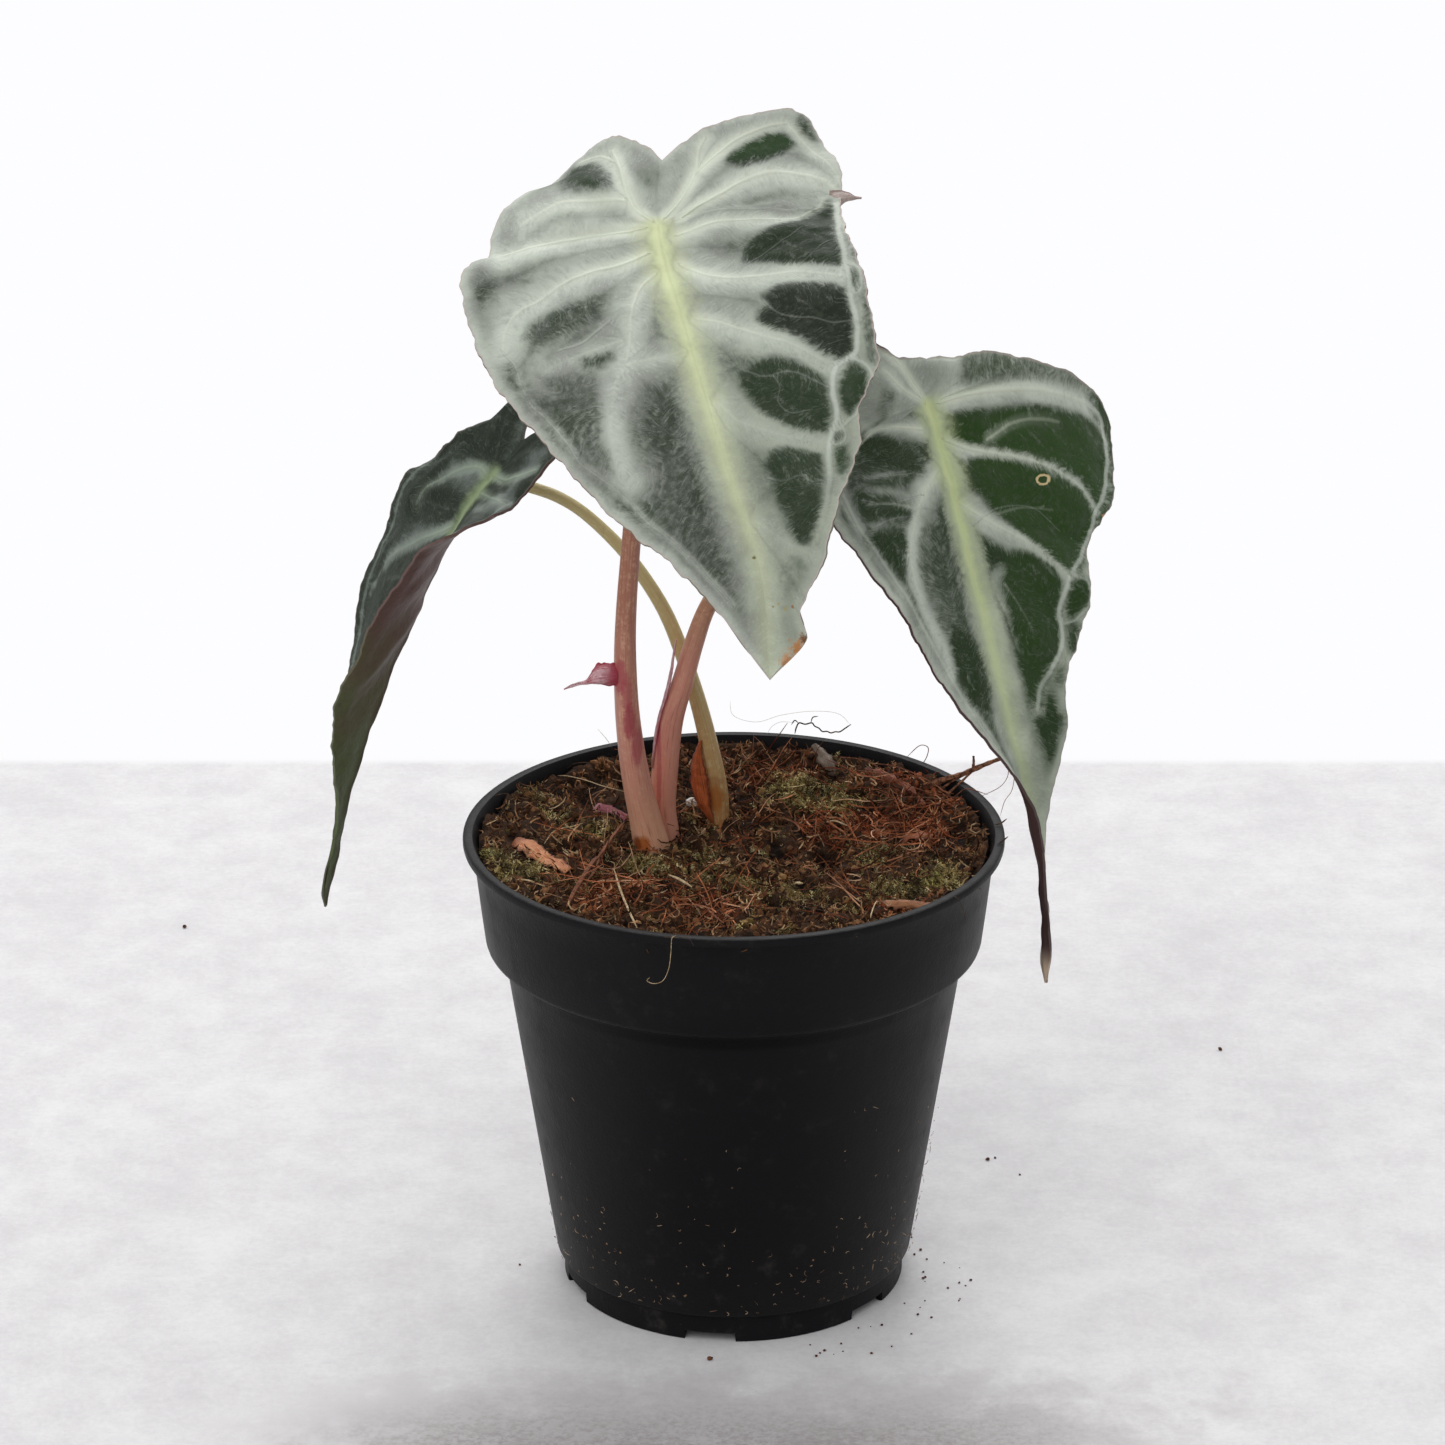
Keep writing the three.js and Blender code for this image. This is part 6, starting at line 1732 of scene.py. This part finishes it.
    "left": [
        (-1, -0.6, 0, [(4.2, 12.2), (0.8, 6.5), (0.6, 1.4), (4.5, 0), (7.2, 2.2), (7.4, 8), (6.3, 12.4)]),
        (-1, -0.6, 0, [(-5.2, 0.8), (-11.9, 4.3), (-15.9, 1.8), (-10, 0)]),
        (-1, -0.6, 0, [(18.8, 12.5), (14, 3), (12.9, 1.7), (16, 1), (20.9, 7.2), (26.5, 15.2),
                       (32.1, 20.4), (28.9, 21.1), (25.1, 18.2)]),
        (1, -0.62, 0, [(7.5, 5.6), (2.8, 9.9), (-5.4, 9.4), (-11, 6.8), (-15.7, 9), (-14.6, 11.8),
                       (-8.8, 12.5), (-2.7, 13.5), (4.8, 18.1), (9, 12), (11.6, 5.3)]),
    ],
}
# How dark a sheet is outside its patches, how far its patches reach past their outlines on each
# side, how wide the silver lies round its veins, and how dark it is between them on each side.
GROUND = {"front": 0, "right": 0, "left": 0.85}
GROW = {"front": (0.6, 0.6), "right": (1.2, 1.6), "left": (0, 0)}
GLOW_WIDE = {"front": 3.0, "right": 1.5, "left": 1.7}
BETWEEN = {"front": (0.55, 0.42), "right": (0.6, 0.9), "left": (0, 0)}


def blade_relief(leaf, flat):
    """How far the sheet is raised at flat places, in millimetres."""
    places = flat[..., :2].reshape(-1, 2)
    near, _, strength, _, glow = near_lines(places, VEINS[leaf] + EDGE_VEINS[leaf], 3.2)
    valley = 0.85 * glow
    cord = 0.14 * strength * np.exp(-((near / 0.45) ** 2))
    rough = []
    for u, v in places:
        spot = Vector((u, v, 3))
        rough.append(0.7 * noise.noise(spot / 9) + 0.2 * noise.noise(spot / 3.1))
    raised = np.array(rough) + 0.25 - valley + cord
    channel = -0.35 * np.exp(-((places[:, 1] / 1.3) ** 2)) * np.clip(1 - places[:, 0] / 110, 0, 1)
    to_margin = np.clip((1 - flat[..., 2].ravel()) * 14, 0, 1)
    hold = np.clip(np.hypot(*places.T) / 6, 0, 1)
    return ((raised * to_margin) * hold + channel).reshape(flat.shape[:-1])


def margin_lines(blade):
    """The margins of both halves as lines, without points that nearly fall together."""
    lines = []
    for side in (-1, 1):
        ends = along(blade["left" if side < 0 else "right"], np.linspace(0, 10, 121))
        keep = [ends[0]]
        for end in ends[1:]:
            if np.hypot(*(end - keep[-1])[:2]) > 0.3:
                keep.append(end)
        lines.append((side, 1, [tuple(end[:2]) for end in keep]))
    return lines


def blade_mesh(leaf, blade):
    """A closed blade: the upper face, the underside with its keel, and the thin edge between."""
    def lift(flat):
        return blade_relief(leaf, flat)

    upper, faces, flat, rim = blade_skin(blade, np.linspace(0, 1, BLADE_ACROSS + 1), lift)
    shares = np.linspace(0, 1, BLADE_UNDER + 1) ** 1.7
    sheet, under_faces, under_flat, under_rim = blade_skin(blade, shares, lift)
    to_tip = 1 - under_flat[:, 3] / 10
    midrib = blade["keel"] * np.exp(-(under_flat[:, 1] / 0.9) ** 2) * (under_flat[:, 0] > -0.5)
    near, _, strength, _, _ = near_lines(under_flat[:, :2], VEINS[leaf])
    veins = 0.35 * strength * np.exp(-((near / 0.8) ** 2)) * (1 - under_flat[:, 2])
    depth = BLADE_THICK + (midrib + veins) * to_tip
    lower = sheet - face_normals(sheet, under_faces) * depth[:, None]
    shift = len(upper)
    faces = [list(f) for f in faces]
    backs = [[c + shift for c in reversed(f)] for f in under_faces]
    for k in range(len(rim)):
        a, b = rim[k - 1], rim[k]
        c, d = under_rim[k - 1] + shift, under_rim[k] + shift
        backs.append([a, b, d, c])
    flats = np.vstack([flat, under_flat])
    places = flats[:, :2]
    margin = near_lines(places, margin_lines(blade))[0]
    vein, vein_signed, strength, run, vein_glow = near_lines(places, VEINS[leaf], GLOW_WIDE[leaf])
    strength = strength * (0.3 + 0.7 * np.exp(-(run % 60) / 16)) * np.clip(1 - places[:, 0] / 65, 0.15, 1)
    edge, edge_signed, edge_weight, _, edge_glow = near_lines(places, EDGE_VEINS[leaf], 1.5)
    midrib = [(side, 1, [(0, 0.01), (40, 0.01), (80, 0.01), (130, 0.01)]) for side in (-1, 1)]
    brush, _, _, run, _ = near_lines(places, VEINS[leaf] + midrib)
    lean = run - 0.7 * brush
    dark, green = patch_fields(places, GROUND[leaf], PATCHES[leaf], GROW[leaf])
    start, span = (1 + np.maximum(places[:, 0], 0) / 25, 3.2) if leaf == "right" else (1.5, 6)
    between = (1 - np.maximum(vein_glow, edge_glow)) ** 2 * np.clip((brush - start) / span, 0, 1)
    ear = 0.15 if leaf == "right" else 0.6
    between = between * np.clip((margin - 1) / 2.5, 0, 1) * np.where(places[:, 0] < -1, ear, 1)
    dark = np.maximum(dark, between * np.where(places[:, 1] < 0, *BETWEEN[leaf]))
    mesh = mesh_of(
        f"blade {leaf}", np.vstack([upper, lower]), faces + backs,
        flat=flats[:, :3],
        vein=np.column_stack([vein_signed, vein, strength]),
        edge=np.column_stack([edge_signed, edge, edge_glow]), edge_weight=edge_weight,
        tone=np.column_stack([dark, green, margin]),
        brush=np.column_stack([lean, brush, vein_glow]))
    mesh.materials.append(LEAF_FACES[leaf])
    mesh.materials.append(LEAF_BACKS[leaf])
    sides = np.array([0] * len(faces) + [1] * len(backs), np.int32)
    mesh.polygons.foreach_set("material_index", sides)
    return mesh


def leaf_face_material(name, silver, pale, dark, green, midrib, midrib_wide, band_wide, spots=()):
    """The upper face: silver over the veins, dark patches with feathery edges between them."""
    silver, midrib, (pale, dark, green) = tints(silver), tints(midrib), tints((pale, dark, green))
    material, paint = new_material(name)
    place = paint.place()
    u, v, _ = paint.field("flat", 1).split()
    vein_off, vein, strength = paint.field("vein", 1).split()
    edge_off, edge, edge_glow = paint.field("edge", 1).split()
    tone, leafy, margin = paint.field("tone", 1).split()
    lean, brush, glow = paint.field("brush", 1).split()

    mottle = paint.noise(place, 0.0016, 4, 0.65)
    clouds = paint.noise(place, 0.009, 3, 0.5, 2)
    fine = paint.noise(place, 0.0005, 3, 0.6, 6)
    drift = (clouds - 0.5) * 9.0 + (mottle - 0.5) * 1.2
    strokes = paint.add("ShaderNodeCombineXYZ", {}, {
        0: (lean + drift) * 1.6, 1: brush * 0.3}).grain(6, 0.7)

    halo = glow.larger(edge_glow * 0.8)
    feather = (strokes - 0.5) * 1.7 + (mottle - 0.5) * 1.0 + (clouds - 0.5) * 0.8
    dark_share = (tone - halo * 0.5 + feather * (tone * 0.9 + 0.16)).rise(0.0, 0.78)

    net = paint.add("ShaderNodeTexVoronoi", {"feature": "DISTANCE_TO_EDGE"}, {
        "Vector": place + (strokes - 0.5) * 0.002, "Scale": 190, "Randomness": 1.0})
    threads = net.fall(0.0, 0.05) * clouds.rise(0.48, 0.6) * mottle.rise(0.4, 0.6) * 0.24

    base = (clouds * 0.6 + strokes * 0.2 + mottle * 0.2).rise(0.38, 0.62).blend(silver[0], silver[1])
    base = ((mottle * 0.6 + fine * 0.4).rise(0.45, 0.62) * 0.35).blend(base, silver[2])
    base = ((strokes * 0.5 + fine * 0.5).rise(0.5, 0.62) * 0.25).blend(base, pale)
    base = (glow * 0.6 * (strokes * 0.4 + mottle * 0.6).rise(0.2, 0.6)).blend(base, pale)
    base = (margin.fall(0.4, 2.4) * 0.3).blend(base, pale)
    # Past the base, the right half of the sheet is painted a darker grey-green: partly its own colour,
    # partly a painted difference in sheen between the halves.
    base = (u.rise(12, 60) * v.rise(0.5, 6) * 0.4).blend(base, tint("7c8770"))
    deep = leafy.blend(dark, green)
    deep = (clouds.rise(0.52, 0.72) * 0.22).blend(deep, tint("45463b"))
    deep = (mottle.rise(0.48, 0.68) * 0.35).blend(deep, tint("4b5144"))
    deep = (strokes.rise(0.53, 0.66) * 0.42 * (1.4 - leafy)).blend(deep, tint("626a60"))
    deep = threads.blend(deep, silver[0])
    sheet = dark_share.blend(base, deep)
    band = (vein + (mottle - 0.5) * 0.9).fall(0.2, band_wide) * strength.rise(0.1, 0.9)
    sheet = (band * 0.7).blend(sheet, midrib[3])
    line = (abs(vein_off) + (mottle - 0.5) * 0.3).fall(0.05, 0.5)
    line = line * vein.fall(0.5, 0.9) * strength
    sheet = (line * 0.7).blend(sheet, midrib[3])
    weight = paint.field("edge_weight")
    edge_line = ((abs(edge_off) + (mottle - 0.5) * 0.4) / weight).fall(0.15, 0.95)
    edge_line = edge_line * edge.fall(0.5, 1.0)
    sheet = (edge_line * (weight * weight * 0.45 + 0.03) * u.fall(55, 85)).blend(sheet, pale)

    off = abs(v)
    wide = (1.3 - u / 190) * midrib_wide
    front = u.rise(-3, 0.5)
    soft = (off / wide + (strokes - 0.5) * 0.7 + (mottle - 0.5) * 0.7).fall(0.0, 1.05) * front
    sheet = (soft * (0.95 - u * 0.006)).blend(sheet, midrib[0])
    bright = (off / wide + (mottle - 0.5) * 0.25).fall(0.0, 0.4) * front
    sheet = (bright * (0.8 - u * 0.008).larger(0.05)).blend(sheet, midrib[1])
    sheet = (margin.fall(0.1, 0.45) * 0.7).blend(sheet, midrib[2])
    for spot_u, spot_v, reach, ring, colour in spots:
        over = (u - spot_u) ** 2.0 + ((v - spot_v) * (0.6 if ring else 1.0)) ** 2.0
        ragged = 0.7 if ring else 2.6
        away = over ** 0.5 + (mottle - 0.5) * (reach * ragged)
        inner = away.rise(ring * reach, ring * reach + 0.15) if ring else 1
        sheet = (away.fall(reach * (0.8 if ring else 0.3), reach) * inner).blend(sheet, tint(colour))

    relief = mottle * 0.5 + fine * 0.25 + strokes * 0.5 + line * 1.0 + edge_line * 0.8
    roughness = 0.5 + mottle * 0.1 - dark_share * 0.08
    finish(paint, sheet, roughness, relief, 0.0002, 0.16)
    return material


def leaf_back_material(name, codes):
    """The underside: darker near the midrib and veins, and another colour towards the tip."""
    near, far, veins, dark = tints(codes)
    material, paint = new_material(name)
    place = paint.place()
    u, v, _ = paint.field("flat", 1).split()
    _, vein, vein_strength = paint.field("vein", 1).split()
    mottle = paint.noise(place, 0.0015, 4, 0.65)
    clouds = paint.noise(place, 0.012, 3, 0.5, 2)
    colour = (u / 100 + (clouds - 0.5) * 0.5).rise(0.25, 0.75).blend(near, far)
    colour = (mottle.rise(0.4, 0.75) * 0.4).blend(colour, dark)
    colour = (vein.fall(0.2, 0.9) * vein_strength * 0.6).blend(colour, veins)
    colour = (abs(v).fall(0.3, 1.2) * 0.6).blend(colour, veins)
    colour = u.rise(122, 130).blend(colour, tint("bda891"))
    finish(paint, colour, 0.45 + mottle * 0.1, mottle, 0.0002)
    return material


LEAF_FACES = {
    "front": leaf_face_material(
        "leaf face front", ("8c9088", "acb3a5", "7e817b"), "d0d6cb",
        "1b2117", "26401c", ("bdc59c", "dae2b2", "b8a8a0", "dde3cf"),
        5.6, 2.6,
        [(82, -0.4, 0.6, 0, "6d6a3e"), (100.9, 6.6, 2.4, 0, "a8764a"), (103.4, 4.2, 2.2, 0, "b0835c"),
         (99.4, 7.8, 1.4, 0, "6e4a2e"), (93.2, 4.2, 0.7, 0, "9a9060"), (92.2, 2.8, 0.5, 0, "9a9060"),
         (93, 5.6, 0.4, 0, "8a6a48"), (92.6, 1.6, 0.4, 0, "8a7a50")]),
    "right": leaf_face_material(
        "leaf face right", ("8f968b", "b6bdaf", "7a7f75"), "cfd6c9",
        "202d19", "294418", ("b6c294", "cfdba2", "9f948b", "d6ddc8"),
        4.6, 1.7,
        [(20.6, 23, 1.3, 0.5, "c9b488"), (31.4, 39.7, 0.9, 0, "b58a62")]),
    "left": leaf_face_material(
        "leaf face left", ("6e7670", "848d86", "5d645e"), "8a948a",
        "222822", "24341d", ("7f8f6a", "93a27c", "6f675f", "98a690"),
        2.6, 2.2),
}
LEAF_BACKS = {
    "front": leaf_back_material("leaf back front", ("6b5a52", "6f7560", "5c2f33", "4e4a41")),
    "right": leaf_back_material("leaf back right", ("4a3230", "45312f", "33191b", "3a2624")),
    "left": leaf_back_material("leaf back left", ("5d4540", "515c38", "40241f", "3f3a2d")),
}
for leaf, blade in BLADES.items():
    add_piece(f"leaf_blade_{leaf}", blade_mesh(leaf, blade), None, f"blade_{leaf}", f"blade_{leaf}")

# The dry point: a small withered tip that stands out beside the notch of the front blade.
STRIPS["notch_point"] = [
    [(19.6, -0.6, 249), (19.8, -1.2, 251.4), (20.2, -0.4, 253.9)],
    [(21.6, -0.6, 249.8), (21.8, -1.4, 251.9), (22, -0.2, 253.9)],
    [(23.4, 0.2, 251), (23.6, -0.6, 252.4), (23.8, 0.4, 253.4)],
    [(25.2, 0, 251.6), (25.3, -0.4, 252.2), (25.5, 0.2, 252.6)],
    [(26.9, 0, 251.9), (26.9, -0.1, 252.1), (27, 0.1, 252.2)],
]
add_piece("leaf_notch_point", strip_mesh("notch_point", 0.4, 0.2, 0.1), strip_material(
    "dry leaf point", ("b09a92", "cfc2bb", "7d625a", "9a8a80")), "blade_front")
